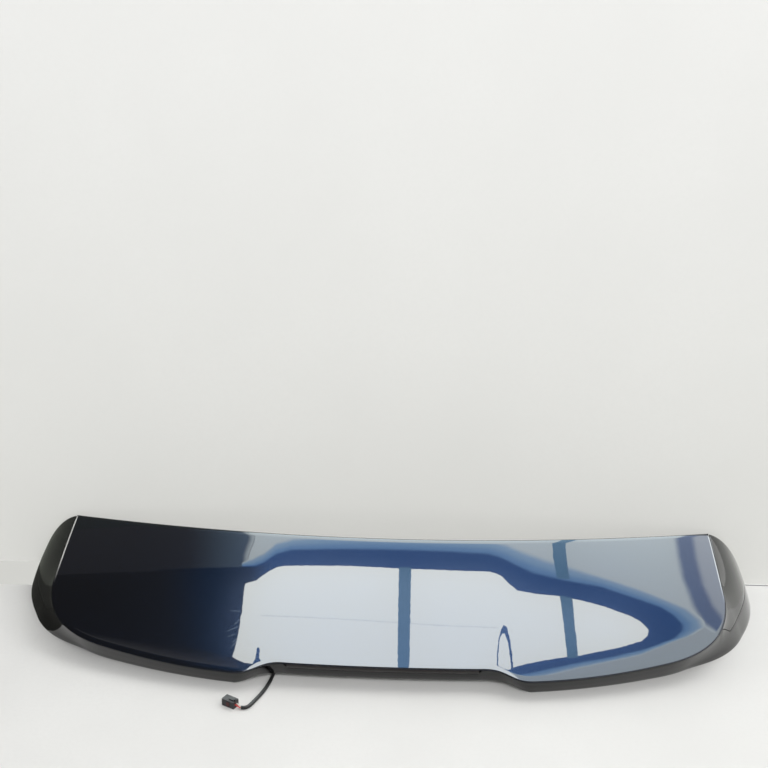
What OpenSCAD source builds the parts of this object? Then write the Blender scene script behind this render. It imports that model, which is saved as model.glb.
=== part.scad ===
// Roof-edge spoiler of an estate car: painted top skin, black lower shell with
// its rear lip, two side blades, high brake lamp, seal, fixings and lamp lead.
// X runs across the car, Y forward, Z up. Lengths are in millimetres.

/* [Top skin] */
// Half width of the skin at its straight sides
skin_half_w = 555; // [500:1:600]
// Wall of the skin
skin_t = 3; // [2:0.1:4]
// Height of the skin's face at the middle of the part
skin_mid_z = 87; // [80:1:95]
// Pitch of the skin, rising forward, in degrees
skin_pitch = 14.4; // [12:0.1:17]
// Fall of the skin from the middle to its straight side
skin_crown = 18; // [8:0.5:24]
// Fall of the skin at its front and rear edges against a flat sheet
skin_camber = 8; // [4:0.5:12]
// Distance from the origin along the car at which that fall is measured
camber_y = 170; // [160:1:180]
// Depth of the roll along the skin's rear edge
skin_roll = 2; // [1:0.1:2.6]

/* [Plan outline] */
// Front edge at the middle, forward of the origin
front_mid_y = 110; // [95:1:125]
// How far the front corners stand forward of the middle
front_sweep = 65; // [45:1:80]
// Where the straight side ends and the corner begins
side_end_y = 15; // [0:1:30]
// Corner point that the rounded rear corner is drawn towards
corner_y = -89; // [-100:1:-78]
// Sideways place where the rear corner meets the trailing edge
corner_end_x = 447; // [430:1:460]
// Place along the car where the rear corner meets the trailing edge
corner_end_y = -128; // [-134:1:-120]
// Sideways place of the notch's outer corner
notch_out_x = 216; // [205:1:230]
// Place along the car of the notch's outer corner
notch_out_y = -180; // [-186:1:-176]
// Sideways place of the notch's inner corner
notch_in_x = 175; // [165:1:185]
// Place along the car of the notch's inner corner
notch_in_y = -160; // [-166:1:-154]
// Place along the car of the notch's edge at the middle
notch_mid_y = -165; // [-170:1:-160]
// Length of the round-off at each notch corner
notch_round = 16; // [8:1:18]

/* [Lip and lower shell] */
// Wall of the lower shell
shell_t = 2.8; // [2:0.1:4]
// How far the lower edge stands out from the skin at the front tips
flare = 75; // [60:1:90]
// How far the lower edge tucks in behind the rear corners
tuck_corner = 21; // [14:1:26]
// How far the lower edge tucks in beside the notch
tuck_notch = 15; // [10:1:20]
// Run along the edge over which the flare dies away
flare_run = 304; // [280:1:330]
// Height of the lip below the side blades
lip_h = 34; // [28:1:38]
// Height of the lip's lower edge inside the notch
notch_lift = 8; // [7:0.5:10]
// Run beside the notch over which the lower edge climbs to that height
notch_ramp = 45; // [40:1:50]
// Width of the flange along the top of the lip
flange_w = 13; // [10:0.5:16]
// Width of the foot along the bottom of the lip
foot_w = 12; // [8:0.5:16]
// Shadow gap between the skin and the lip
seam = 1.2; // [0.6:0.1:2]

/* [Side blades] */
// Wall of a side blade
blade_t = 2.8; // [2:0.1:3.4]
// Run along the edge where the blade's lower edge starts to climb
blade_climb = 196; // [185:1:200]
// Run along the edge where the blade ends
blade_end = 222; // [216:1:228]
// Run beyond the blade's end over which the lip reaches the skin
blade_taper = 8; // [6:1:12]
// Width of the blade's flange below the skin
blade_flange = 12; // [8:0.5:16]

/* [Front seal and adhesive] */
// Thickness of the seal in front of the skin
seal_t = 4; // [3:0.1:6]
// Height of the seal
seal_h = 9; // [8:0.1:12]
// Thickness of the adhesive bead
bond_t = 1; // [0.6:0.1:2]
// Width of the adhesive bead
bond_w = 9; // [6:0.5:10]

/* [High brake lamp] */
// Half length of the lamp's lens
lens_half_l = 150; // [120:1:156]
// Height of the lens face
lens_h = 9.5; // [8:0.1:11]
// Wall of the lens
lens_t = 2; // [1.5:0.1:2.6]
// Depth of the lamp housing behind the lens
lamp_d = 17; // [14:0.5:20]
// Wall of the lamp housing
lamp_t = 1.4; // [1:0.1:1.8]
// Thickness of the lamp's circuit board
board_t = 1.2; // [1:0.1:1.6]
// Number of light-emitting diodes
led_n = 12; // [6:1:16]
// Side of one diode
led_s = 3.2; // [2.4:0.1:3.6]

/* [Fixings] */
// Radius of a fixing stud
stud_r = 3; // [2.5:0.5:4]
// Radius of the plain collar that holds the stud in its seat
stud_collar_r = 3.6; // [3.2:0.1:4.6]
// Length of a stud below its seat
stud_len = 24; // [18:0.5:30]
// Height of the stud seats above the ground
seat_z = 42; // [38:0.5:46]
// Radius of a stud seat
seat_r = 15; // [12:0.5:17]
// Sideways place of the inner studs
stud_in_x = 150; // [120:1:180]
// Place along the car of the inner studs
stud_in_y = -20; // [-40:1:0]
// Sideways place of the outer studs
stud_out_x = 420; // [390:1:440]
// Place along the car of the outer studs
stud_out_y = 20; // [0:1:40]
// Radius of a stud's head
head_r = 8; // [6:0.5:10]
// Thickness of a stud's head
head_t = 2.5; // [2:0.1:4]
// Thickness of the foam ring at each stud
foam_t = 3; // [2:0.1:5]
// Clearance between a stud and its foam ring
foam_clear = 1.4; // [1.2:0.1:2]
// Radius of a locating pin
pin_r = 4; // [3:0.1:5]
// Length of a locating pin below its seat
pin_len = 14; // [10:0.5:20]
// Sideways place of the locating pins
pin_x = 285; // [270:1:300]
// Place along the car of the locating pins
pin_y = 0; // [-20:1:20]
// Radius of a screw that holds a side blade
screw_r = 2; // [1.6:0.1:2.4]
// Radius of the screw's head
screw_head_r = 4.5; // [3.5:0.1:5]
// Height of the screw's head
screw_head_h = 2.6; // [2:0.1:3.4]
// Depth of the screw in its post
screw_grip = 9; // [6:0.5:11]
// Radius of a post in a side blade
post_r = 4.5; // [3.5:0.1:5]
// Radius of a rubber stop
stop_r = 9; // [7:0.5:11]
// Height of a rubber stop below its land
stop_h = 6; // [4:0.5:8]
// Radius of a rubber stop's stem
stop_stem_r = 3; // [2:0.1:4]
// Height of the barb that holds a rubber stop
stop_barb_h = 3; // [2:0.1:4]
// How far the barb stands out from the stem
stop_barb = 1.5; // [1:0.1:2]
// Sideways place of the rubber stops
stop_x = 330; // [300:1:360]
// Place along the car of the rubber stops
stop_y = 72; // [60:1:80]

/* [Lamp lead] */
// Radius of the sleeve on the lead
sleeve_r = 2.9; // [2.5:0.1:3.2]
// Radius of the lead inside the shell
lead_r = 1.8; // [1.4:0.1:2.2]
// Radius of one insulated wire
wire_r = 1; // [0.8:0.1:1.2]
// Radius of the grommet's neck
grommet_r = 5.5; // [4.5:0.1:6.5]
// Thickness of the grommet's rims
grommet_rim = 1.5; // [1:0.1:2]
// Length of the connector
conn_l = 22; // [18:0.5:26]
// Width of the connector
conn_w = 13; // [11:0.5:15]
// Height of the connector
conn_h = 12; // [10:0.5:14]
// Wall of the connector's mouth
conn_wall = 1.2; // [1:0.1:1.6]
// Depth of the connector's mouth
conn_mouth = 9; // [7:0.5:11]
// Height of the connector's latch arm
latch_h = 1.6; // [1:0.1:2.2]
// Length of the latch arm
latch_l = 9; // [7:0.5:11]
// Width of the latch arm
latch_w = 6; // [5:0.5:7]
// Length of the lock on the connector's side
lock_l = 5; // [4:0.5:6]
// Half the distance between the two wires at the connector
wire_pitch = 1.8; // [1.5:0.1:2.2]
// Radius of a contact in the connector
pin_socket_r = 0.9; // [0.7:0.1:1.1]

/* [Hidden] */

// Clearance between pieces that sit side by side
gap = 0.4;
// How far a cutter passes through a face
cut = 1;
// End of the lamp, from which the lead's routes are measured
lamp_end = [-lens_half_l, 0, 0];
// Route of the sleeve, from inside the shell to its end on the ground
route = [for (p = [
    [-15, -78, 46], [-15, -78, 28], [-15, -79, 21], [-15.5, -82, 14.5], [-16, -88, 8.5],
    [-17, -97, 4.5], [-18, -108, 3.1], [-20, -122, 3], [-22, -138, 3], [-24, -154, 3],
    [-27, -169, 3], [-31, -184, 3], [-36.5, -199, 3], [-42.5, -213, 3], [-47, -223, 3],
    [-50, -228, 3], [-55, -231.5, 3], [-61, -232, 3]
]) lamp_end + p];
// Route of the lead inside the shell, between the lamp and the sleeve
lead_route = [for (p = [
    [14, -126, 30], [9, -112, 36], [1, -99, 43], [-7, -88, 49], [-12, -81, 52], [-15, -78, 51]
]) lamp_end + p];
// Back of the connector on the ground, and the way that its mouth faces
conn_place = lamp_end + [-69, -228, 0];
conn_turn = 150;
// Rows of the skin from its rear edge to its front edge
skin_rows = 9;
// Share of the flare at which a blade's section is pulled outward
shoulder_out = 0.6;
// Share of the height by which that point has dropped
shoulder_drop = 0.1;
// Slope of the skin as a ratio
pitch = tan(skin_pitch);

// Height of the skin's outer face
function skin_z(x, y) = skin_mid_z + pitch * y - skin_crown * pow(x / skin_half_w, 2)
    - skin_camber * pow(y / camber_y, 2);
// Front edge of the skin
function front_y(x) = front_mid_y + front_sweep * pow(x / skin_half_w, 2);
function lerp(a, b, t) = a + (b - a) * t;
function unit(v) = v / norm(v);
function clip(v, lo, hi) = min(max(v, lo), hi);
// Quadratic curve from a to c, drawn towards b
function bend(a, b, c, t) = pow(1 - t, 2) * a + 2 * t * (1 - t) * b + t * t * c;
function arc_points(a, b, c, n) = [for (i = [0 : n - 1]) bend(a, b, c, i / n)];
// Distance along a run of points, one value for each point
function runs(p) = [for (i = 0, s = 0; i < len(p);
    s = s + (i + 1 < len(p) ? norm(p[i + 1] - p[i]) : 0), i = i + 1) s];
function inset(p, n, d) = [p[0] - n[0] * d, p[1] - n[1] * d];
function mirrored(p) = [-p[0], p[1], p[2]];
// A grid given for one side, carried on across the middle
function both_sides(g) = concat(g, [for (i = [len(g) - 2 : -1 : 0])
    [for (p = g[i]) mirrored(p)]]);

// Outline of the painted skin, right half, from the front corner to the middle
front_corner = [skin_half_w, front_y(skin_half_w)];
side_end = [skin_half_w, side_end_y];
corner_pull = [skin_half_w, corner_y];
corner_end = [corner_end_x, corner_end_y];
notch_out = [notch_out_x, notch_out_y];
notch_in = [notch_in_x, notch_in_y];
notch_dir = unit(notch_in - notch_out);
trail_dir = unit(corner_end - corner_pull);
trail_pull = corner_end + trail_dir * norm(notch_out - corner_end) / 2;
trail_end = notch_out - unit(notch_out - trail_pull) * notch_round;
notch_a = notch_out + notch_dir * notch_round;
notch_b = notch_in - notch_dir * notch_round;
function notch_edge(x) = [x, lerp(notch_mid_y, notch_in_y, pow(x / notch_in_x, 2))];
notch_c = notch_edge(notch_in_x - notch_round);
side_n = 7;
rim_side = [for (i = [0 : side_n - 1]) lerp(front_corner, side_end, i / side_n)];
rim_rear = concat(
    arc_points(side_end, corner_pull, corner_end, 12),
    arc_points(corner_end, trail_pull, trail_end, 6),
    arc_points(trail_end, notch_out, notch_a, 3),
    arc_points(notch_a, (notch_a + notch_b) / 2, notch_b, 2),
    arc_points(notch_b, notch_in, notch_c, 3),
    [for (i = [0 : 5]) notch_edge(lerp(notch_c[0], 0, i / 5))]
);
rim = concat(rim_side, rim_rear);
rim_run = runs(rim);
rim_n = len(rim);
rim_len = rim_run[rim_n - 1];
notch_run = rim_run[side_n + 18];
// Outward direction at each point of the rim
rim_out = [for (i = [0 : rim_n - 1])
    i == 0 ? [1, 0] : i == rim_n - 1 ? [0, -1] :
    let (d = unit(rim[i + 1] - rim[i - 1])) [-d[1], d[0]]];

// How far the lower edge stands out from the rim
function stand_out(s) = let (
        u = clip(s / flare_run, 0, 1),
        fall = (1 + cos(180 * pow(u, 1.3))) / 2,
        tail = lerp(tuck_corner, tuck_notch, clip((s - flare_run) / (notch_run - flare_run), 0, 1))
    ) (flare + tail) * fall - tail;
// Height of the lower edge
function foot_z(s) = notch_lift * clip((s - notch_run) / notch_ramp, 0, 1);
// Point of the shoulder that runs from the rim down to the lower edge
function shoulder(i, t) = let (
        s = rim_run[i], p = rim[i], n = rim_out[i], out = stand_out(s),
        top = skin_z(p[0], p[1]), low = foot_z(s), w = max(out, 0) / flare,
        k = lerp(0.5, shoulder_out, w), d = lerp(0.5, shoulder_drop, w),
        a = [p[0], p[1], top],
        b = [p[0] + n[0] * out * k, p[1] + n[1] * out * k, lerp(top, low, d)],
        c = [p[0] + n[0] * out, p[1] + n[1] * out, low]
    ) bend(a, b, c, t);
// Share of the shoulder at which it has come down to height z
function share_at(i, z) = let (
        p = rim[i], s = rim_run[i], top = skin_z(p[0], p[1]), low = foot_z(s),
        w = max(stand_out(s), 0) / flare, m = 1 - 2 * lerp(0.5, shoulder_drop, w),
        h = (z - low) / (top - low)
    ) m < 0.01 ? 1 - h : (m - 1 + sqrt(pow(1 - m, 2) + 4 * m * (1 - h))) / (2 * m);
// Height of the joint between a blade and the lip
function split_z(i) = let (top = skin_z(rim[i][0], rim[i][1]), s = rim_run[i])
    s < blade_climb ? lip_h :
    lerp(lip_h, top, clip((s - blade_climb) / (blade_end + blade_taper - blade_climb), 0, 1));
blade_n = len([for (s = rim_run) if (s < blade_end) 1]);

// Closed sheet between two grids of points that run side by side
module sheet(outer, inner) {
    m = len(outer[0]);
    n = len(outer);
    k = m * n;
    pts = concat([for (r = outer) for (p = r) p], [for (r = inner) for (p = r) p]);
    face = [for (i = [0 : n - 2]) for (j = [0 : m - 2]) let (a = i * m + j)
        each [[a, a + 1, a + m + 1], [a, a + m + 1, a + m]]];
    back = [for (f = face) [f[2] + k, f[1] + k, f[0] + k]];
    ends = [for (j = [0 : m - 2]) let (b = (n - 1) * m + j)
        each [[j, j + k, j + 1 + k], [j, j + 1 + k, j + 1],
              [b, b + 1, b + 1 + k], [b, b + 1 + k, b + k]]];
    sides = [for (i = [0 : n - 2]) let (a = i * m, b = i * m + m - 1)
        each [[a, a + m, a + m + k], [a, a + m + k, a + k],
              [b, b + k, b + m + k], [b, b + m + k, b + m]]];
    polyhedron(pts, [for (f = concat(face, back, ends, sides)) [f[2], f[1], f[0]]]);
}

// Closed bar swept through loops of points
module bar(loops) {
    m = len(loops[0]);
    n = len(loops);
    wall = [for (i = [0 : n - 2]) for (j = [0 : m - 1]) let (a = i * m + j, b = i * m + (j + 1) % m)
        each [[a, b, b + m], [a, b + m, a + m]]];
    caps = [[for (j = [m - 1 : -1 : 0]) j], [for (j = [0 : m - 1]) (n - 1) * m + j]];
    polyhedron([for (r = loops) for (p = r) p], concat(wall, caps));
}

// Top skin
rear_n = len(rim_rear);
rear_run = runs(rim_rear);
rear_out = [for (i = [0 : rear_n - 1]) rim_out[side_n + i]];
function skin_front(i) = let (x = skin_half_w * (1 - rear_run[i] / rear_run[rear_n - 1]))
    [x, front_y(x)];
skin_half = [for (i = [0 : rear_n - 1]) let (a = rim_rear[i], f = skin_front(i),
        b = a + unit(f - a) * skin_roll)
    concat([[a[0], a[1], skin_z(a[0], a[1]) - skin_roll * 0.6]],
        [for (j = [0 : skin_rows - 1]) let (p = lerp(b, f, j / (skin_rows - 1)))
            [p[0], p[1], skin_z(p[0], p[1])]])];
skin_grid = both_sides(skin_half);

module top_skin() {
    lower = [for (r = skin_grid) [for (j = [0 : len(r) - 1])
        let (p = r[j], z = skin_z(p[0], p[1]) - skin_t) [p[0], p[1], z]]];
    color("#27374f") sheet(skin_grid, lower);
}

// Lower shell
// True where the lamp's lens stands above the lip
function has_lens(i) = rim_run[i] > notch_run && abs(rim[i][0]) < notch_in_x - notch_round + 1;
// Underside of the skin above a point
function skin_low(p) = skin_z(p[0], p[1]) - skin_t;
// Top edge of the lip: under a blade, under the lens or under the skin
function lip_top(i) = let (n = rim_out[i], low = skin_low(rim[i]))
    rim_run[i] < blade_end ? shoulder(i, share_at(i, split_z(i) - seam)) :
    has_lens(i) ? let (z = low - lens_h - 2 * gap, t = inset(shoulder(i, share_at(i, z)), n, seam))
        [t[0], t[1], z] :
    let (t = inset(shoulder(i, share_at(i, low - bond_t)), n, seam))
        [t[0], t[1], skin_low(t) - bond_t];
// Inner edge of the flange along the lip's top
function lip_flange(i) = let (t = lip_top(i), q = inset(t, rim_out[i], flange_w))
    rim_run[i] < blade_end || has_lens(i) ? [q[0], q[1], t[2]] :
    [q[0], q[1], skin_low(q) - bond_t];
// Front edge of the lower shell, set back by a given depth
shell_front_w = skin_half_w - blade_flange - 2;
function shell_front_x(i) = shell_front_w * (1 - rim_run[i] / rim_len);
function shell_front(i, back) = let (x = shell_front_x(i), p = [x, front_y(x) - gap - back])
    [p[0], p[1], skin_low(p) - bond_t - shell_t];
// Share of its height that the underside has gained at share w of its depth
function rise(w) = 0.88 * w + 0.12 * (1 - pow(1 - w, 6));
front_flange = bond_w + 3;
under_w = [0, 0.04, 0.12, 0.26, 0.42, 0.6, 0.8, 1];
function under(i, w) = let (b = shoulder(i, 1), q = inset(b, rim_out[i], foot_w),
        f = shell_front(i, front_flange))
    [lerp(q[0], f[0], w), lerp(q[1], f[1], w), lerp(b[2] + 0.6, f[2], rise(w))];
under_half = [for (i = [0 : rim_n - 1])
    concat([for (w = under_w) under(i, w)], [shell_front(i, 0)])];
shell_half = [for (i = [0 : rim_n - 1]) let (t = lip_top(i))
    concat([lip_flange(i), t, shoulder(i, lerp(share_at(i, t[2]), 1, 0.5)), shoulder(i, 1)],
        under_half[i])];
function shifted(p, n, side, up) = [p[0] - n[0] * side, p[1] - n[1] * side, p[2] + up];
shell_back = [for (i = [0 : rim_n - 1]) let (r = shell_half[i], n = rim_out[i], t = shell_t)
    concat([shifted(r[0], n, 0, -t), shifted(r[1], n, t, -t), shifted(r[2], n, t, 0),
        shifted(r[3], n, t, t)], [for (j = [4 : len(r) - 1]) shifted(r[j], n, 0, t)])];

// Height of the underside above a place in the plan
under_tris = [for (i = [0 : rim_n - 2]) for (j = [0 : len(under_w) - 1])
    let (a = under_half[i][j], b = under_half[i + 1][j], c = under_half[i + 1][j + 1],
         d = under_half[i][j + 1])
    each [[a, b, c], [a, c, d]]];
function turn(a, b, p) = (b[0] - a[0]) * (p[1] - a[1]) - (b[1] - a[1]) * (p[0] - a[0]);
function height_in(t, p) = let (whole = turn(t[0], t[1], t[2]),
        u = turn(t[1], t[2], p) / whole, v = turn(t[2], t[0], p) / whole, w = 1 - u - v)
    min(u, v, w) < -0.001 ? undef : u * t[0][2] + v * t[1][2] + w * t[2][2];
function under_at(p) = [for (t = under_tris)
    let (h = height_in(t, [abs(p[0]), p[1]])) if (h != undef) h][0];

stud_places = [for (s = [-1, 1]) each [[s * stud_in_x, stud_in_y], [s * stud_out_x, stud_out_y]]];
pin_places = [for (s = [-1, 1]) [s * pin_x, pin_y]];
stop_places = [for (s = [-1, 1]) [s * stop_x, stop_y]];
grommet_place = [route[1][0], route[1][1]];
screw_land_r = screw_head_r + 2;
grommet_land_r = grommet_r + 3;
// Where a blade's posts stand: stations along the straight side, share of the shoulder
post_stations = [1, 4];
post_share = 0.45;
// How far a post's top stays below the blade's inner face at its axis
post_sink = 3.2;
function post_point(i) = let (q = shoulder_in(i, post_share)) placed(i, q);
screw_places = [for (s = [-1, 1]) for (i = post_stations) let (q = post_point(i)) [s * q[0], q[1]]];
// Top of a stud's seat, inside the shell
function seat_top(p) = under_at(p) + shell_t + 5;
// Flat land through the sloping wall, round a hole
land_edge = 0.6;
function around(p, r) = [for (a = [0 : 45 : 315]) under_at([p[0] + r * cos(a), p[1] + r * sin(a)])];
function land_low(p, r) = min(around(p, r)) - land_edge;
function land_top(p, r) = max(around(p, r)) + shell_t + land_edge;
module at(p, z = 0) translate([p[0], p[1], z]) children();
module land(p, r) at(p, land_low(p, r)) cylinder(r = r, h = land_top(p, r) - land_low(p, r));
module land_hole(p, r, hole) at(p, land_low(p, r) - cut)
    cylinder(r = hole, h = land_top(p, r) - land_low(p, r) + 2 * cut);

module lower_shell() {
    color("#1b1c1e") difference() {
        union() {
            sheet(both_sides(shell_back), both_sides(shell_half));
            for (p = stud_places) at(p, seat_z) cylinder(r = seat_r, h = seat_top(p) - seat_z);
            for (p = pin_places) {
                at(p, seat_z) cylinder(r = pin_r * 2, h = seat_top(p) - seat_z);
                at(p, seat_z - pin_len) cylinder(r = pin_r, h = pin_len + cut);
            }
            for (p = stop_places) land(p, stop_r);
            for (p = screw_places) land(p, screw_land_r);
            land(grommet_place, grommet_land_r);
        }
        for (p = stud_places) at(p, seat_z - cut)
            cylinder(r = stud_collar_r + gap / 2, h = seat_top(p) - seat_z + 2 * cut);
        for (p = stop_places) land_hole(p, stop_r, stop_stem_r);
        for (p = screw_places) land_hole(p, screw_land_r, screw_r + gap / 2);
        land_hole(grommet_place, grommet_land_r, grommet_r);
    }
}

// Side blades
// Section of the shoulder at a rim point: place outward of the rim, and height
function shoulder_at(i, t) = let (q = shoulder(i, t), p = rim[i], n = rim_out[i])
    [(q[0] - p[0]) * n[0] + (q[1] - p[1]) * n[1], q[2]];
function shoulder_in(i, t) = let (q = shoulder_at(i, t),
        d = unit(shoulder_at(i, t + 0.01) - shoulder_at(i, t - 0.01)),
        cap = skin_low(rim[i]) - gap - blade_t)
    [q[0] + d[1] * blade_t, min(q[1] - d[0] * blade_t, cap)];
function placed(i, q) = [rim[i][0] + rim_out[i][0] * q[0], rim[i][1] + rim_out[i][1] * q[0], q[1]];
blade_shares = [0.08, 0.22, 0.38, 0.55, 0.72, 0.88, 1];
blade_last = len(blade_shares) - 1;
// Width of the flange at the front end, where the seal passes
blade_tip_flange = 1.2;
function blade_loop(i) = let (
        top = skin_z(rim[i][0], rim[i][1]), low = top - skin_t - gap,
        width = i == 0 ? blade_tip_flange : blade_flange,
        fz = skin_low(inset(rim[i], rim_out[i], width)) - gap,
        ts = share_at(i, split_z(i)), side = min(gap, shoulder_at(i, blade_shares[0] * ts)[0] / 2)
    ) concat(
        [[-width, fz], [side, low], [side, top - gap]],
        [for (t = blade_shares) shoulder_at(i, t * ts)],
        [for (j = [blade_last : -1 : 0]) shoulder_in(i, blade_shares[j] * ts)],
        [[-width, fz - blade_t]]
    );
// Outline of the wall that closes a blade's front end
end_wall = let (ts = share_at(0, split_z(0))) concat(
    [for (t = [0.15, 0.35, 0.55, 0.75, 0.95]) (shoulder_at(0, t * ts) + shoulder_in(0, t * ts)) / 2],
    [for (w = [0.3, 0.45, 0.6, 0.75]) let (u = under(0, w)) [u[0] - skin_half_w, u[2] + shell_t + 1]]
);
end_wall_t = 2.4;

module side_blade() {
    union() {
        bar([for (i = [0 : blade_n - 1]) [for (q = blade_loop(i))
            placed(i, q) - [0, i == 0 ? gap : 0, 0]]]);
        translate([skin_half_w, front_corner[1] - 1, 0]) rotate([90, 0, 0])
            linear_extrude(end_wall_t) polygon(end_wall);
        for (i = post_stations) let (q = post_point(i), low = land_top(q, screw_land_r))
            difference() {
                at(q, low) cylinder(r = post_r, h = q[2] - post_sink - low);
                at(q, low - cut) cylinder(r = screw_r, h = screw_grip + cut);
            }
    }
}
module side_blade_right() { color("#17181a") side_blade(); }
module side_blade_left() { color("#17181a") mirror([1, 0, 0]) side_blade(); }

// Rubber seal along the front edge
module front_seal() {
    half = [for (i = [0 : rear_n - 1]) let (f = skin_front(i), z = skin_z(f[0], f[1]) - gap)
        [for (q = [[0, 1], [0.6, 1], [1, 0.8], [1, 0.25], [0.6, 0], [0, 0]])
            [f[0], f[1] + q[0] * seal_t, z - q[1] * seal_h]]];
    color("#101112") bar(both_sides(half));
}

// Adhesive between the skin and the lower shell
function bond_loop(p, q) = [
    [p[0], p[1], skin_low(p) - bond_t], [q[0], q[1], skin_low(q) - bond_t],
    [q[0], q[1], skin_low(q)], [p[0], p[1], skin_low(p)]
];
module adhesive_bead() {
    rear = [for (i = [blade_n + 1 : side_n + 18]) let (t = lip_top(i), n = rim_out[i])
        bond_loop(inset(t, n, 2), inset(t, n, 2 + bond_w))];
    front = [for (i = [0 : rim_n - 1]) let (x = shell_front_x(i), y = front_y(x) - 2)
        bond_loop([x, y - bond_w], [x, y])];
    color("#55565a") {
        bar(rear);
        mirror([1, 0, 0]) bar(rear);
        bar(both_sides(front));
    }
}

// High brake lamp, built along the notch's edge
function notch_out_dir(x) = unit([2 * (notch_in_y - notch_mid_y) * x / pow(notch_in_x, 2), -1]);
function along(x, d, z) = let (e = notch_edge(x), n = notch_out_dir(x))
    [e[0] + n[0] * d, e[1] + n[1] * d, z];
// Place of the lip's face below the notch, outward of the skin's edge
function face_d(x, z) = let (top = skin_z(x, notch_edge(x)[1]))
    -tuck_notch * (top - z) / (top - notch_lift) - seam;
function lens_back(x, z) = face_d(x, z) - lens_t;
function lamp_high(x) = skin_low(notch_edge(x)) - gap;
function lamp_low(x) = lamp_high(x) - lens_h;
function lamp_back(x) = face_d(x, lamp_low(x)) - lens_t - lamp_d;
lamp_xs = [for (k = [-10 : 10]) lens_half_l * k / 10];
// Local frame at the notch's edge: X points out of the lip's face
module along_notch(x) translate([notch_edge(x)[0], notch_edge(x)[1], 0])
    rotate([0, 0, atan2(notch_out_dir(x)[1], notch_out_dir(x)[0])]) children();

module lamp_lens() {
    color("#2a0a0d") bar([for (x = lamp_xs) let (h = lamp_high(x), l = lamp_low(x),
            a = face_d(x, h), b = face_d(x, l))
        [for (q = [[a, h], [a - lens_t, h], [b - lens_t, l], [b, l], [(a + b) / 2 + 0.4, (h + l) / 2]])
            along(x, q[0], q[1])]]);
}
module lamp_housing() {
    color("#26272a") bar([for (x = lamp_xs) let (h = lamp_high(x), l = lamp_low(x), t = lamp_t,
            c = lamp_back(x))
        [for (q = [[lens_back(x, h), h], [c, h], [c, l], [lens_back(x, l), l],
                [lens_back(x, l + t), l + t], [c + t, l + t], [c + t, h - t],
                [lens_back(x, h - t), h - t]])
            along(x, q[0], q[1])]]);
}
module lamp_board() {
    color("#1f5a35") bar([for (x = lamp_xs) let (h = lamp_high(x) - lamp_t - gap / 2,
            l = lamp_low(x) + lamp_t + gap / 2, a = lamp_back(x) + lamp_t + board_t, c = a - board_t)
        [for (q = [[a, h], [c, h], [c, l], [a, l]]) along(x, q[0], q[1])]]);
}
module lamp_leds() {
    pitch_x = 2 * lens_half_l / led_n;
    color("#d8d2c4") for (k = [0 : led_n - 1]) let (x = (k + 0.5) * pitch_x - lens_half_l)
        along_notch(x) translate([lamp_back(x) + lamp_t + board_t, -led_s / 2,
            (lamp_high(x) + lamp_low(x) - led_s) / 2]) cube([led_s / 2, led_s, led_s]);
}
// Spring clips that hold the lamp on the lip's flange
clip_t = 0.8;
clip_w = 10;
module lamp_clips() {
    color("#9a9ea3") for (s = [-1, 1]) let (x = s * lens_half_l * 2 / 3, c = lamp_back(x),
            shelf = lamp_low(x) - gap - shell_t, high = lamp_high(x))
        along_notch(x) translate([c - clip_t - gap / 2, -clip_w / 2, 0]) {
            translate([0, 0, shelf - clip_t]) cube([clip_t, clip_w, high - shelf + 2 * clip_t]);
            translate([0, 0, shelf - clip_t]) cube([lamp_d * 0.8, clip_w, clip_t]);
            translate([0, 0, high]) cube([lamp_d * 0.4, clip_w, clip_t]);
        }
}

// Round tube through a run of points
module tube(path, r, sides) {
    n = len(path);
    dir = [for (i = [0 : n - 1]) i == 0 ? unit(path[1] - path[0]) :
        i == n - 1 ? unit(path[i] - path[i - 1]) :
        unit(unit(path[i + 1] - path[i]) + unit(path[i] - path[i - 1]))];
    bar([for (i = [0 : n - 1]) let (u = unit(cross(dir[i], [1, -1, 1])), v = cross(dir[i], u))
        [for (k = [0 : sides - 1]) let (a = -360 * k / sides)
            path[i] + r * (cos(a) * u + sin(a) * v)]]);
}
lead_x = -lens_half_l * 0.9;
lead_start = along(lead_x, lamp_back(lead_x) - gap, (lamp_low(lead_x) + lamp_high(lead_x)) / 2);
lead_path = concat([lead_start], lead_route, [route[0]]);
module lamp_lead() { color("#141414") tube(lead_path, lead_r, 8); }
module cable_grommet() {
    low = land_low(grommet_place, grommet_land_r);
    top = land_top(grommet_place, grommet_land_r);
    rim_r = grommet_r + (grommet_land_r - grommet_r) * 2 / 3;
    color("#1c1c1c") at(grommet_place) rotate_extrude() polygon([
        [sleeve_r, low - grommet_rim], [rim_r, low - grommet_rim], [rim_r, low], [grommet_r, low],
        [grommet_r, top], [rim_r, top], [rim_r, top + grommet_rim], [sleeve_r, top + grommet_rim]
    ]);
}
module loom_sleeve() { color("#1d1d1f") tube(route, sleeve_r, 10); }
// Outward and sideways directions of the connector, lying on the ground
conn_dir = [cos(conn_turn), sin(conn_turn), 0];
conn_side = [-sin(conn_turn), cos(conn_turn), 0];
route_end = route[len(route) - 1];
// How far behind the connector a wire bends and runs straight, and how low it hangs
wire_bend = 5;
wire_straight = 2;
wire_sag = 1;
function wire_path(s) = let (e = conn_place + conn_side * s * wire_pitch + [0, 0, conn_h / 2]) [
    route_end + conn_side * s * wire_r * 1.1, e - conn_dir * wire_bend - [0, 0, wire_sag],
    e - conn_dir * wire_straight, e
];
module loom_wire_red() { color("#b02a2a") tube(wire_path(1), wire_r, 8); }
module loom_wire_white() { color("#d8d4c8") tube(wire_path(-1), wire_r, 8); }
module on_connector() translate(conn_place) rotate([0, 0, conn_turn]) children();
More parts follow.
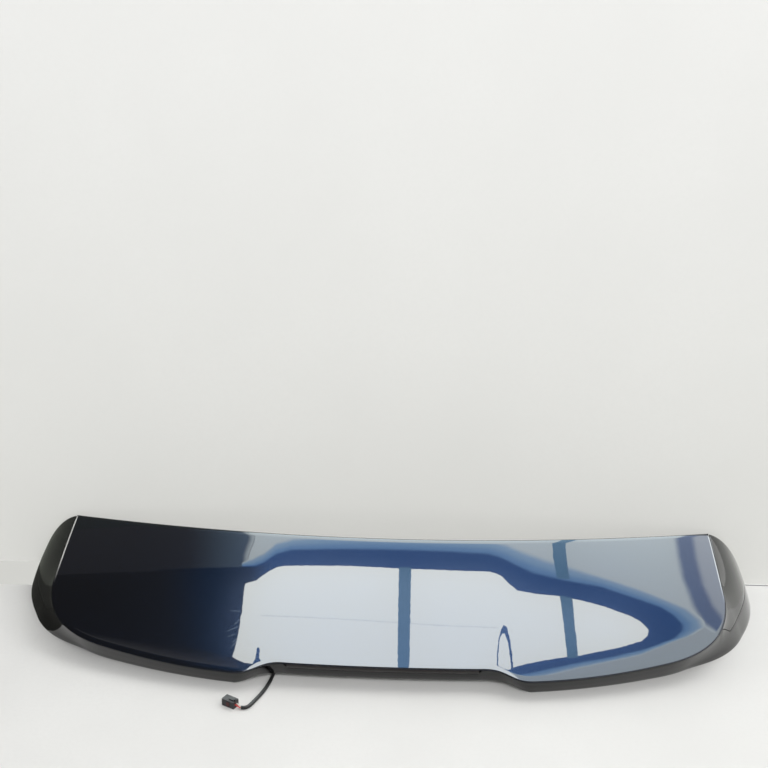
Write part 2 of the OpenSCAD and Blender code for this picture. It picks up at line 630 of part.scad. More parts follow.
// Thumb tab behind the latch arm: length, width and extra height
latch_tab = [2.5, 4, 1.4];
lock_t = 1.2;
module connector_body() {
    color("#202022") on_connector() difference() {
        union() {
            translate([0, -conn_w / 2, 0]) cube([conn_l, conn_w, conn_h]);
            translate([latch_tab[0] - cut / 2, -latch_w / 2, conn_h])
                cube([latch_l, latch_w, latch_h]);
            translate([0, -latch_tab[1] / 2, conn_h])
                cube([latch_tab[0], latch_tab[1], latch_h + latch_tab[2]]);
        }
        translate([conn_l - conn_mouth, conn_wall - conn_w / 2, conn_wall])
            cube([conn_mouth + cut, conn_w - 2 * conn_wall, conn_h - 2 * conn_wall]);
    }
}
module connector_lock() {
    color("#7a2d2d") on_connector() translate([conn_l / 3, conn_w / 2, conn_h / 4])
        cube([lock_l, lock_t, conn_h / 2]);
}
module connector_pins() {
    color("#b89b5a") on_connector() for (s = [-1, 1])
        translate([conn_l - conn_mouth, s * wire_pitch * 1.4, conn_h * 0.4]) rotate([0, 90, 0])
            cylinder(r = pin_socket_r, h = conn_mouth * 0.8, $fn = 32);
}

// Studs, foam rings, screws and rubber stops
module fixing_studs() {
    color("#b9bcc0") for (p = stud_places) {
        at(p, seat_z - stud_len) cylinder(r = stud_r, h = stud_len + cut);
        at(p, seat_z) cylinder(r = stud_collar_r, h = seat_top(p) - seat_z + cut);
        at(p, seat_top(p)) cylinder(r = head_r, h = head_t);
    }
}
module stud_seals() {
    color("#2c2d2f") for (p = stud_places) at(p, seat_z - foam_t) difference() {
        cylinder(r = seat_r - 1, h = foam_t);
        translate([0, 0, -cut]) cylinder(r = stud_r + foam_clear, h = foam_t + 2 * cut);
    }
}
module blade_screws() {
    color("#8d9196") for (p = screw_places)
        let (low = land_low(p, screw_land_r), top = land_top(p, screw_land_r)) {
            at(p, low - screw_head_h) cylinder(r = screw_head_r, h = screw_head_h);
            at(p, low - cut) cylinder(r = screw_r, h = top - low + screw_grip);
        }
}
module bump_stops() {
    color("#161617") for (p = stop_places) let (low = land_low(p, stop_r), top = land_top(p, stop_r))
        at(p) rotate_extrude() polygon([
            [0, low - stop_h], [stop_r * 7 / 9, low - stop_h], [stop_r, low], [stop_stem_r, low],
            [stop_stem_r, top], [stop_stem_r + stop_barb, top], [stop_stem_r, top + stop_barb_h],
            [0, top + stop_barb_h]
        ]);
}

top_skin();
lower_shell();
side_blade_left();
side_blade_right();
front_seal();
adhesive_bead();
lamp_lens();
lamp_housing();
lamp_board();
lamp_leds();
lamp_clips();
lamp_lead();
cable_grommet();
loom_sleeve();
loom_wire_red();
loom_wire_white();
connector_body();
connector_lock();
connector_pins();
fixing_studs();
stud_seals();
blade_screws();
bump_stops();
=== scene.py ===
"""Roof-edge spoiler of an estate car: finishes, fine shells and the studio round it."""

import logging
import math
from dataclasses import dataclass, replace
from enum import Enum

import bpy
import numpy as np
from mathutils import Matrix, Vector


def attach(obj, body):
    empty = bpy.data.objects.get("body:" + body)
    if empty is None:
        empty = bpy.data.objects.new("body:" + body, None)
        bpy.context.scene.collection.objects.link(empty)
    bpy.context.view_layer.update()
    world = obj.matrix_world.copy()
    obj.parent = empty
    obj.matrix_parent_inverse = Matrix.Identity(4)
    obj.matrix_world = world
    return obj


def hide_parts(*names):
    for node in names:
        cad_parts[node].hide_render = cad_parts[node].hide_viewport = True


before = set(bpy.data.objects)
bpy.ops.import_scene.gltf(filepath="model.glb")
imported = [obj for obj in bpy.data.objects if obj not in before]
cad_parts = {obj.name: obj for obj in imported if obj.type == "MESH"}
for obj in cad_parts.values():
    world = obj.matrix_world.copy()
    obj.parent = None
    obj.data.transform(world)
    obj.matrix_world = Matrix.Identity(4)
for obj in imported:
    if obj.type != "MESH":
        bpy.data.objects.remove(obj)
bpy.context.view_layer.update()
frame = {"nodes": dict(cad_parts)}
LOG = logging.getLogger("spoiler")
MM = 0.001
Colour = tuple[float, float, float]
Point = tuple[float, float, float]
Line = tuple[tuple[float, float], ...]


# Helpers
def deselect() -> None:
    """Leaves edit mode and selects nothing."""
    if bpy.context.object and bpy.context.object.mode != "OBJECT":
        bpy.ops.object.mode_set(mode="OBJECT")
    bpy.ops.object.select_all(action="DESELECT")


def activate(obj: bpy.types.Object) -> None:
    """Selects one object alone and makes it active.

    Args:
        obj: the object to work on.
    """
    deselect()
    obj.select_set(True)
    bpy.context.view_layer.objects.active = obj


def edit_all(obj: bpy.types.Object) -> None:
    """Opens an object in edit mode with everything in it selected.

    Args:
        obj: the object to edit.
    """
    activate(obj)
    bpy.ops.object.mode_set(mode="EDIT")
    bpy.ops.mesh.select_all(action="SELECT")


def settle(obj: bpy.types.Object) -> None:
    """Applies an object's modifiers and its place, so that its place is in its mesh.

    Args:
        obj: the piece to settle.
    """
    activate(obj)
    for mod in list(obj.modifiers):
        bpy.ops.object.modifier_apply(modifier=mod.name)
    bpy.ops.object.transform_apply(location=True, rotation=True, scale=True)


def loft(name: str, sections: np.ndarray, closed: bool = False) -> bpy.types.Object:
    """Shapes a grid primitive into a skin through rows of points.

    Args:
        name: the piece's name.
        sections: points in mm, as stations x points of a section x 3.
        closed: True where each section is a loop, which also closes both ends.

    Returns:
        The new mesh object, in metres.
    """
    if closed:
        sections = np.concatenate([sections, sections[:, :1]], axis=1)
    n, m = sections.shape[:2]
    deselect()
    bpy.ops.mesh.primitive_grid_add(x_subdivisions=m - 1, y_subdivisions=n - 1, size=1.0)
    obj = bpy.context.object
    obj.name = obj.data.name = name
    obj.data.vertices.foreach_set("co", (sections.reshape(-1, 3) * MM).ravel())
    obj.data.update()
    edit_all(obj)
    if closed:
        bpy.ops.mesh.remove_doubles(threshold=1e-6)
        bpy.ops.mesh.select_mode(type="EDGE")
        bpy.ops.mesh.select_all(action="DESELECT")
        bpy.ops.mesh.select_non_manifold()
        bpy.ops.mesh.fill()
        bpy.ops.mesh.select_all(action="SELECT")
    bpy.ops.mesh.normals_make_consistent(inside=False)
    bpy.ops.object.mode_set(mode="OBJECT")
    return obj


def soften(obj: bpy.types.Object, width: float, segments: int, limit: float,
           smooth: float = 30.0) -> None:
    """Rounds an object's sharp edges and shades it smooth between them.

    Args:
        obj: the piece.
        width: bevel width in metres, 0 for none.
        segments: faces across each rounded edge.
        limit: angle in degrees above which an edge is rounded.
        smooth: angle in degrees below which faces share their shading.
    """
    if width > 0:
        mod = obj.modifiers.new("rounded_edges", "BEVEL")
        mod.width, mod.segments = width, segments
        mod.limit_method, mod.angle_limit = "ANGLE", math.radians(limit)
        mod.use_clamp_overlap = True
    settle(obj)
    bpy.ops.object.shade_smooth_by_angle(angle=math.radians(smooth))


def wear(piece: bpy.types.Object, material: bpy.types.Material) -> None:
    """Gives a piece one material in all its slots.

    Args:
        piece: the object to dress.
        material: the finish to put on it.
    """
    if not piece.material_slots:
        piece.data.materials.append(material)
    for slot in piece.material_slots:
        slot.material = material


def join(parts: list[bpy.types.Object]) -> bpy.types.Object:
    """Joins pieces into the first one, which keeps its name.

    Args:
        parts: the pieces.

    Returns:
        The joined piece.
    """
    activate(parts[0])
    for part in parts:
        part.select_set(True)
    bpy.ops.object.join()
    return parts[0]


def hide(obj: bpy.types.Object, *rays: str) -> None:
    """Hides an object from kinds of ray, such as glossy."""
    for ray in rays:
        setattr(obj, f"visible_{ray}", False)


def plane(name: str, place: Point, size: tuple[float, float], finish: bpy.types.Material,
          upright: bool = False) -> bpy.types.Object:
    """Adds a flat rectangle.

    Args:
        name: its name.
        place: its middle, in metres.
        size: its two sides, in metres.
        finish: its material.
        upright: True to stand it up across the car, False to lay it flat.

    Returns:
        The new object.
    """
    deselect()
    turn = math.radians(90) if upright else 0.0
    bpy.ops.mesh.primitive_plane_add(size=1.0, location=place, rotation=(turn, 0.0, 0.0))
    obj = bpy.context.object
    obj.name = name
    obj.scale = (*size, 1.0)
    wear(obj, finish)
    settle(obj)
    return obj


def unit(way: np.ndarray) -> np.ndarray:
    """A vector's direction, with length one."""
    return way / np.linalg.norm(way)


def bend(a: np.ndarray, b: np.ndarray, c: np.ndarray, n: int) -> list[np.ndarray]:
    """Points of a curve from a to c that b pulls, without c itself."""
    return [(1 - t) ** 2 * a + 2 * t * (1 - t) * b + t * t * c for t in np.arange(n) / n]


class Desk:
    """A node tree with short calls for nodes and links."""

    def __init__(self, name: str, world: bpy.types.World | None = None) -> None:
        """Makes an empty material, or takes a world's nodes.

        Args:
            name: the material's name.
            world: the world, where it isn't a material.
        """
        self.material = world or bpy.data.materials.new(name)
        self.material.use_nodes = True
        self.tree = self.material.node_tree
        self.shader = self.tree.nodes["Background" if world else "Principled BSDF"]
        self.object = self.add("ShaderNodeTexCoord").outputs["Object"]

    def add(self, kind: str, **values: object) -> bpy.types.Node:
        """Adds a node; a value that names an input sets or links it.

        Args:
            kind: the node's type.
            values: attributes, or inputs as in_Name with blanks as underscores.

        Returns:
            The new node.
        """
        node = self.tree.nodes.new(kind)
        for key, value in values.items():
            if not key.startswith("in_"):
                setattr(node, key, value)
        for key, value in values.items():
            if key.startswith("in_"):
                word = key[3:].replace("_", " ")
                self.put(node.inputs[int(word) if word.isdigit() else word], value)
        return node

    def put(self, socket: bpy.types.NodeSocket, value: object) -> None:
        """Links a socket to an output, or sets its value.

        Args:
            socket: the input to fill.
            value: an output socket or a plain value.
        """
        if isinstance(value, bpy.types.NodeSocket):
            self.tree.links.new(value, socket)
        elif socket.type == "RGBA":
            socket.default_value = (*value[:3], 1.0)
        else:
            socket.default_value = value

    def set(self, **values: object) -> None:
        """Sets or links the shader's inputs by name, blanks as underscores."""
        for key, value in values.items():
            self.put(self.shader.inputs[key.replace("_", " ")], value)

    def show(self, surface: bpy.types.NodeSocket) -> bpy.types.Material:
        """Makes a shader output the material's surface."""
        self.put(self.tree.nodes["Material Output"].inputs["Surface"], surface)
        return self.material

    def glow(self, colour: object) -> bpy.types.NodeSocket:
        """Even light of a colour, as a shader output."""
        return self.add("ShaderNodeEmission", in_Strength=1.0, in_Color=colour).outputs[0]

    def xyz(self, vector: bpy.types.NodeSocket | None = None) -> bpy.types.bpy_prop_collection:
        """The three parts of a vector, or of the object's coordinates."""
        return self.add("ShaderNodeSeparateXYZ", in_Vector=vector or self.object).outputs

    def noise(self, scale: float, detail: float = 2.0, rough: float = 0.5,
              vector: bpy.types.NodeSocket | None = None) -> bpy.types.NodeSocket:
        """Noise factor over the piece.

        Args:
            scale: cells for each metre.
            detail: octaves.
            rough: weight of the finer octaves.
            vector: coordinates, the object's own if left out.

        Returns:
            The factor output.
        """
        node = self.add("ShaderNodeTexNoise", in_Scale=scale, in_Detail=detail,
                        in_Roughness=rough, in_Vector=vector or self.object)
        return node.outputs["Fac"]

    def ramp(self, fac: bpy.types.NodeSocket, low: float, high: float,
             a: float = 0.0, b: float = 1.0, way: str = "LINEAR") -> bpy.types.NodeSocket:
        """Maps a factor between two limits, clamped.

        Args:
            fac: the factor.
            low: input at the result a.
            high: input at the result b.
            a: first result.
            b: second result.
            way: how it changes between them.

        Returns:
            The mapped value.
        """
        node = self.add("ShaderNodeMapRange", interpolation_type=way, in_Value=fac,
                        in_From_Min=low, in_From_Max=high, in_To_Min=a, in_To_Max=b)
        return node.outputs["Result"]

    def math(self, kind: str, a: object, b: object = 0.0) -> bpy.types.NodeSocket:
        """One arithmetic step on two values."""
        return self.add("ShaderNodeMath", operation=kind, in_0=a, in_1=b).outputs[0]

    def mix(self, fac: object, a: object, b: object) -> bpy.types.NodeSocket:
        """Mixes two colours; fac is the second one's share."""
        return self.add("ShaderNodeMix", data_type="RGBA", in_0=fac, in_6=a, in_7=b).outputs[2]

    def bump(self, height: bpy.types.NodeSocket, strength: float,
             distance: float) -> bpy.types.NodeSocket:
        """Bump from a height factor, with its share and its height in metres."""
        return self.add("ShaderNodeBump", in_Height=height, in_Strength=strength,
                        in_Distance=distance).outputs["Normal"]


# Finishes
@dataclass(frozen=True)
class BluePaint:
    """Dark blue metallic paint under a clear coat, with fine scratches by the notch.

    A scratch is its middle in metres, its turn in degrees and half its length in metres.
    """

    base: Colour = (0.0013, 0.0053, 0.0165)
    flake: Colour = (0.0021, 0.0092, 0.0300)
    # edge is the colour of the painted highlight on the skin's side edges
    edge: Colour = (0.62, 0.62, 0.60)
    scratch: Colour = (0.20, 0.25, 0.33)
    dust: Colour = (0.3, 0.3, 0.3)
    flake_scale: float = 1400.0
    flake_share: float = 0.45
    cloud_share: float = 0.25
    scratch_share: float = 0.15
    dust_share: float = 0.05
    metallic: float = 0.85
    peel_scale: float = 95.0
    edge_x: float = 0.5526
    edge_fade: float = 0.0006
    scratch_core: float = 0.0003
    scratch_w: float = 0.0010
    scratch_lines: tuple[tuple[float, float, float, float], ...] = (
        (-0.2408, -0.0979, 29.5, 0.0140),
        (-0.2420, -0.0619, -8.7, 0.0115),
        (-0.2349, -0.1203, 45.3, 0.0074),
        (-0.2357, -0.1281, 57.1, 0.0089),
        (-0.2359, -0.0843, 50.5, 0.0078),
        (-0.2420, -0.1109, 21.5, 0.0081))

    def make(self) -> bpy.types.Material:
        """Builds the material.

        Returns:
            The material.
        """
        d = Desk("blue_metallic_paint")
        cells = d.add("ShaderNodeTexVoronoi", in_Vector=d.object, in_Scale=self.flake_scale)
        spark = d.ramp(cells.outputs["Color"], 0.2, 1.0, 0.0, self.flake_share)
        cloud = d.ramp(d.noise(9.0, 3.0), 0.3, 0.75, 0.0, self.cloud_share)
        colour = d.mix(cloud, d.mix(spark, self.base, self.flake), self.flake)
        marks = self.scratches(d)
        colour = d.mix(d.math("MULTIPLY", marks, self.scratch_share), colour, self.scratch)
        specks = d.ramp(d.noise(700.0, 2.0), 0.73, 0.8, 0.0, self.dust_share)
        colour = d.mix(specks, colour, self.dust)
        peel = d.bump(d.noise(self.peel_scale, 1.5), 0.006, 0.001)
        # painted highlight along the side edges, with the metal turned off under it
        rim = self.painted_edge_highlight(d)
        d.set(Base_Color=d.mix(rim, colour, self.edge), Roughness=0.18, Normal=peel, IOR=1.5,
              Metallic=d.ramp(rim, 0.0, 1.0, self.metallic, 0.0), Coat_Weight=1.0,
              Coat_IOR=1.6, Coat_Normal=peel, Coat_Roughness=d.ramp(marks, 0.0, 1.0, 0.012, 0.03))
        return d.material

    def painted_edge_highlight(self, d: Desk) -> bpy.types.NodeSocket:
        """Painted highlight: a pale line over the skin's side edges, standing in for the light they
        catch.

        Args:
            d: the material's desk.

        Returns:
            A mask of the painted highlight, strongest on the left.
        """
        place = d.xyz()
        wide = d.math("ABSOLUTE", place["X"])
        line = d.ramp(wide, self.edge_x, self.edge_x + self.edge_fade)
        along = d.ramp(place["Y"], 0.0, 0.06)
        # the painted highlight is stronger on the left, where the edge shows brighter
        side = d.ramp(place["X"], -0.1, 0.1, 0.95, 0.3)
        return d.math("MULTIPLY", d.math("MULTIPLY", line, along), side)

    def scratches(self, d: Desk) -> bpy.types.NodeSocket:
        """Fine scratches near the notch's left corner.

        Args:
            d: the material's desk.

        Returns:
            A mask of the scratches.
        """
        marks = 0.0
        for x, y, turn, half in self.scratch_lines:
            local = d.add("ShaderNodeMapping", vector_type="TEXTURE", in_Vector=d.object,
                          in_Location=(x, y, 0.0), in_Rotation=(0.0, 0.0, math.radians(turn)))
            place = d.xyz(local.outputs["Vector"])
            across = d.ramp(d.math("ABSOLUTE", place["Y"]), self.scratch_core, self.scratch_w,
                            1.0, 0.0)
            along = d.ramp(d.math("ABSOLUTE", place["X"]), half * 0.4, half, 1.0, 0.0)
            marks = d.math("MAXIMUM", marks, d.math("MULTIPLY", across, along))
        return marks


@dataclass(frozen=True)
class GlossBlack:
    """Gloss-black moulded plastic with faint dust and hairline marks."""

    name: str = "gloss_black"
    base: Colour = (0.005, 0.0052, 0.0054)
    rough: float = 0.05
    haze: float = 0.10

    def make(self) -> bpy.types.Material:
        """Builds the material.

        Returns:
            The material.
        """
        d = Desk(self.name)
        film = d.ramp(d.noise(26.0, 4.0, 0.6), 0.35, 0.75, self.rough, self.rough + self.haze)
        grit = d.ramp(d.noise(900.0, 2.0), 0.7, 0.8)
        colour = d.mix(d.math("MULTIPLY", grit, 0.25), self.base, (0.10, 0.10, 0.095))
        wave = d.bump(d.noise(60.0, 1.0), 0.01, 0.001)
        d.set(Base_Color=colour, Roughness=film, Normal=wave, IOR=1.48,
              Coat_Weight=0.4, Coat_Roughness=0.03)
        return d.material


@dataclass(frozen=True)
class Moulded:
    """Matt or satin plastic or rubber with a fine grain."""

    name: str
    base: Colour
    rough: float = 0.55
    grain: float = 1800.0
    depth: float = 0.00008
    light: float = 1.6

    def make(self) -> bpy.types.Material:
        """Builds the material.

        Returns:
            The material.
        """
        d = Desk(self.name)
        tone = d.ramp(d.noise(70.0, 3.0), 0.3, 0.7)
        paler = tuple(min(1.0, c * self.light) for c in self.base)
        colour = d.mix(d.math("MULTIPLY", tone, 0.5), self.base, paler)
        rough = d.ramp(d.noise(self.grain * 0.3, 2.0), 0.3, 0.7, self.rough - 0.08,
                       self.rough + 0.1)
        d.set(Base_Color=colour, Roughness=rough, IOR=1.48,
              Normal=d.bump(d.noise(self.grain, 2.0), 0.5, self.depth))
        return d.material


@dataclass(frozen=True)
class BareMetal:
    """Plated or bare metal with drawing lines and light staining."""

    name: str
    base: Colour
    rough: float = 0.32

    def make(self) -> bpy.types.Material:
        """Builds the material.

        Returns:
            The material.
        """
        d = Desk(self.name)
        drawn = d.add("ShaderNodeMapping", in_Vector=d.object, in_Scale=(1.0, 1.0, 12.0))
        lines = d.noise(900.0, 2.0, vector=drawn.outputs["Vector"])
        stain = d.ramp(d.noise(120.0, 3.0), 0.45, 0.75)
        darker = tuple(c * 0.55 for c in self.base)
        d.set(Base_Color=d.mix(d.math("MULTIPLY", stain, 0.5), self.base, darker), Metallic=1.0,
              Roughness=d.ramp(lines, 0.3, 0.7, self.rough - 0.08, self.rough + 0.12),
              Normal=d.bump(lines, 0.2, 0.00005))
        return d.material


@dataclass(frozen=True)
class SmokedLens:
    """Dark smoked red lens with faint inner ribs."""

    base: Colour = (0.004, 0.0016, 0.002)

    def make(self) -> bpy.types.Material:
        """Builds the material.

        Returns:
            The material.
        """
        d = Desk("smoked_lens")
        ribs = d.add("ShaderNodeTexWave", bands_direction="X", in_Vector=d.object,
                     in_Scale=95.0, in_Distortion=0.0)
        colour = d.mix(d.ramp(ribs.outputs["Fac"], 0.55, 0.95, 0.0, 0.6), self.base,
                       (0.012, 0.004, 0.0045))
        d.set(Base_Color=colour, Roughness=0.16, IOR=1.38, Coat_Weight=0.15,
              Coat_Roughness=0.03, Normal=d.bump(ribs.outputs["Fac"], 0.15, 0.0003))
        return d.material


@dataclass(frozen=True)
class StudioSurface:
    """Pale matt floor or wall with a soft mottling.

    With a glow, it is a wall that is clear from behind, and which the camera sees partly
    as its own glow, brighter towards the top: the darker foot is painted shade.
    """

    name: str
    base: Colour
    shade: Colour
    scale: float = 3.0
    glow: float = 0.0
    shaded_low_glow: Colour = (0.75, 0.75, 0.71)
    high_end: Colour = (0.99, 0.99, 0.975)

    def make(self) -> bpy.types.Material:
        """Builds the material.

        Returns:
            The material.
        """
        d = Desk(self.name)
        soft = d.ramp(d.noise(self.scale, 3.0), 0.35, 0.7)
        fine = d.ramp(d.noise(160.0, 3.0), 0.4, 0.7, 0.0, 0.35)
        colour = d.mix(soft, self.base, self.shade)
        d.set(Base_Color=d.mix(fine, colour, self.shade), Roughness=0.75, IOR=1.3,
              Normal=d.bump(d.noise(420.0, 2.0), 0.1, 0.0005))
        if self.glow:
            clear = d.add("ShaderNodeBsdfTransparent").outputs[0]
            behind = d.add("ShaderNodeNewGeometry").outputs["Backfacing"]
            d.show(d.add("ShaderNodeMixShader", in_0=behind, in_1=self.lit(d),
                         in_2=clear).outputs[0])
        return d.material

    def lit(self, d: Desk) -> bpy.types.NodeSocket:
        """The surface with its own light in what the camera sees of it, painted darker towards the
        floor as painted shade.

        Args:
            d: the material's desk.

        Returns:
            The shader output.
        """
        # the glow runs from shaded_low_glow near the floor to high_end above: painted shade low
        # down
        light = d.glow(d.mix(d.ramp(d.xyz()["Z"], 0.1, 1.3), self.shaded_low_glow, self.high_end))
        path = d.add("ShaderNodeLightPath").outputs
        seen = d.math("MAXIMUM", path["Is Camera Ray"], path["Is Glossy Ray"])
        seen = d.math("MAXIMUM", seen, path["Is Transmission Ray"])
        return d.add("ShaderNodeMixShader", in_0=d.math("MULTIPLY", seen, self.glow),
                     in_1=d.shader.outputs[0], in_2=light).outputs[0]


@dataclass(frozen=True)
class EvenGlow:
    """A matt surface with an even light of its own."""

    name: str
    light: Colour
    strength: float = 1.0
    base: Colour = (0.0, 0.0, 0.0)

    def make(self) -> bpy.types.Material:
        """Builds the material.

        Returns:
            The material.
        """
        d = Desk(self.name)
        d.set(Base_Color=self.base, Roughness=1.0, Specular_IOR_Level=0.0,
              Emission_Color=self.light, Emission_Strength=self.strength)
        return d.material


# Form
@dataclass(frozen=True)
class Rim:
    """Right half of the skin's rim, from the front corner to the middle, in mm."""

    place: np.ndarray
    run: np.ndarray
    out: np.ndarray
    notch_run: float

    def part(self, keep: np.ndarray | slice) -> "Rim":
        """The points of the rim that a mask or a slice keeps."""
        return Rim(self.place[keep], self.run[keep], self.out[keep], self.notch_run)


@dataclass(frozen=True)
class SpoilerForm:
    """Sizes and curves of the spoiler, in mm, as the solids have them."""

    half_w: float = 555.0
    front_mid: float = 110.0
    front_bow: float = 65.0
    side_y: float = 15.0
    side_pull: float = -89.0
    corner: tuple[float, float] = (447.0, -128.0)
    rear_corner: tuple[float, float] = (216.0, -180.0)
    notch_corner: tuple[float, float] = (175.0, -160.0)
    corner_cut: float = 16.0
    notch_mid: float = -165.0
    notch_bow: float = 5.0
    mid_z: float = 87.0
    pitch: float = math.tan(math.radians(14.4))
    crown: float = 18.0
    camber: float = 8.0
    camber_run: float = 170.0
    skin_t: float = 3.0
    roll: float = 2.0
    shell_t: float = 2.8
    flare: float = 75.0
    tuck_corner: float = 21.0
    tuck_notch: float = 15.0
    flare_run: float = 304.0
    flare_power: float = 1.3
    pull_out: tuple[float, float] = (0.5, 0.1)
    pull_down: tuple[float, float] = (0.5, -0.4)
    lip_h: float = 34.0
    notch_lift: float = 8.0
    notch_rise: float = 45.0
    flange_w: float = 13.0
    foot_w: float = 12.0
    seam: float = 1.2
    blade_t: float = 2.8
    blade_climb: float = 196.0
    blade_end: float = 222.0
    blade_fade: float = 8.0
    blade_flange: float = 12.0
    bond_t: float = 1.0
    bond_w: float = 9.0
    lens_half: float = 150.0
    lens_h: float = 9.5
    lens_t: float = 2.0
    gap: float = 0.4
    screws: Line = ((590.19, 152.14), (584.88, 83.57))

    def skin_z(self, p: np.ndarray) -> np.ndarray:
        """Height of the skin above places in the plan.

        Args:
            p: the places.

        Returns:
            The heights.
        """
        x, y = p[..., 0], p[..., 1]
        return (self.mid_z + self.pitch * y - self.crown * (x / self.half_w) ** 2
                - self.camber * (y / self.camber_run) ** 2)

    def front_y(self, x: np.ndarray) -> np.ndarray:
        """Front edge of the skin."""
        return self.front_mid + self.front_bow * (x / self.half_w) ** 2

    def notch_y(self, x: np.ndarray) -> np.ndarray:
        """Rear edge of the skin in the notch."""
        return self.notch_mid + self.notch_bow * (x / self.notch_corner[0]) ** 2

    def rim(self, steps: tuple[int, ...]) -> Rim:
        """Samples the rim's outline.

        Args:
            steps: points along the straight side and along each later stretch.

        Returns:
            The sampled rim.
        """
        front, side, pull = (np.array((self.half_w, y)) for y in
                             (self.front_y(self.half_w), self.side_y, self.side_pull))
        corner, out, inn = (np.array(p) for p in
                            (self.corner, self.rear_corner, self.notch_corner))
        way, cut = unit(inn - out), self.corner_cut
        trail_pull = corner + unit(corner - pull) * np.linalg.norm(out - corner) / 2
        trail = out - unit(out - trail_pull) * cut
        a, b = out + way * cut, inn - way * cut
        x = (inn[0] - cut) * (1 - np.arange(steps[6] + 1) / steps[6])
        edge = np.column_stack([x, self.notch_y(x)])
        points = [front + (side - front) * i / steps[0] for i in range(steps[0])]
        points += bend(side, pull, corner, steps[1]) + bend(corner, trail_pull, trail, steps[2])
        first = len(points)
        points += bend(trail, out, a, steps[3]) + bend(a, (a + b) / 2, b, steps[4])
        points += bend(b, inn, edge[0], steps[5])
        place = np.array([*points, *edge])
        step = np.linalg.norm(np.diff(place, axis=0), axis=1)
        run = np.concatenate([[0.0], np.cumsum(step)])
        d = np.gradient(place, axis=0)
        d /= np.linalg.norm(d, axis=1, keepdims=True)
        normal = np.stack([-d[:, 1], d[:, 0]], axis=1)
        normal[0], normal[-1] = (1.0, 0.0), (0.0, -1.0)
        return Rim(place, run, normal, float(run[first]))

    def stand_out(self, r: Rim) -> np.ndarray:
        """How far the lower edge stands out from the rim.

        Args:
            r: the rim.

        Returns:
            The distance at each rim point, negative where the edge is tucked in.
        """
        u = np.clip(r.run / self.flare_run, 0, 1)
        fall = (1 + np.cos(np.pi * u ** self.flare_power)) / 2
        share = np.clip((r.run - self.flare_run) / (r.notch_run - self.flare_run), 0, 1)
        tail = self.tuck_corner + (self.tuck_notch - self.tuck_corner) * share
        return (self.flare + tail) * fall - tail

    def foot_z(self, r: Rim) -> np.ndarray:
        """Height of the lower edge."""
        return self.notch_lift * np.clip((r.run - r.notch_run) / self.notch_rise, 0, 1)

    def spread(self, r: Rim) -> np.ndarray:
        """Share of the full flare that the lower edge has, without the tuck."""
        return np.maximum(self.stand_out(r), 0) / self.flare

    def shoulder(self, r: Rim, t: np.ndarray) -> np.ndarray:
        """Points of the shoulder between the rim and the lower edge.

        Args:
            r: the rim.
            t: share of the way down, one value for each rim point.

        Returns:
            Points in mm.
        """
        t = np.broadcast_to(t, r.run.shape)[:, None]
        out, low, top = self.stand_out(r), self.foot_z(r), self.skin_z(r.place)
        w = self.spread(r)
        k, d = (even + flared * w for even, flared in (self.pull_out, self.pull_down))
        a = np.column_stack([r.place, top])
        b = np.column_stack([r.place + r.out * (out * k)[:, None], top + (low - top) * d])
        c = np.column_stack([r.place + r.out * out[:, None], low])
        return (1 - t) ** 2 * a + 2 * t * (1 - t) * b + t * t * c

    def share_at(self, r: Rim, z: np.ndarray) -> np.ndarray:
        """Share of the shoulder at which it has come down to a height.

        Args:
            r: the rim.
            z: the height at each rim point.

        Returns:
            The share at each rim point.
        """
        low, top = self.foot_z(r), self.skin_z(r.place)
        m = 1 - 2 * (self.pull_down[0] + self.pull_down[1] * self.spread(r))
        h = np.clip((z - low) / (top - low), 0, 1)
        safe = np.where(m < 0.01, 1.0, m)
        bent = (safe - 1 + np.sqrt((1 - safe) ** 2 + 4 * safe * (1 - h))) / (2 * safe)
        return np.where(m < 0.01, 1 - h, bent)

    def split_z(self, r: Rim) -> np.ndarray:
        """Height of the joint between a blade and the lip.

        Args:
            r: the rim.

        Returns:
            The height at each rim point.
        """
        top, last = self.skin_z(r.place), self.blade_end + self.blade_fade
        u = np.clip((r.run - self.blade_climb) / (last - self.blade_climb), 0, 1)
        return self.lip_h + (top - self.lip_h) * u

    def in_plan(self, r: Rim, p: np.ndarray, d: object, dz: object = 0.0) -> np.ndarray:
        """Moves points inward from the rim.

        Args:
            r: the rim.
            p: one point for each rim point.
            d: distance inward.
            dz: distance upward.

        Returns:
            The moved points.
        """
        shift = r.out * np.broadcast_to(d, r.run.shape)[:, None]
        lift = np.broadcast_to(dz, r.run.shape)
        return np.column_stack([p[:, :2] - shift, p[:, 2] + lift])


def both_sides(half: np.ndarray) -> np.ndarray:
    """Carries a grid for the right half on across the middle."""
    return np.concatenate([half, half[-2::-1] * np.array([-1.0, 1.0, 1.0])])


def smooth_step(x: np.ndarray, low: float, high: float) -> np.ndarray:
    """Soft step from 0 at low to 1 at high."""
    u = np.clip((x - low) / (high - low), 0, 1)
    return u * u * (3 - 2 * u)


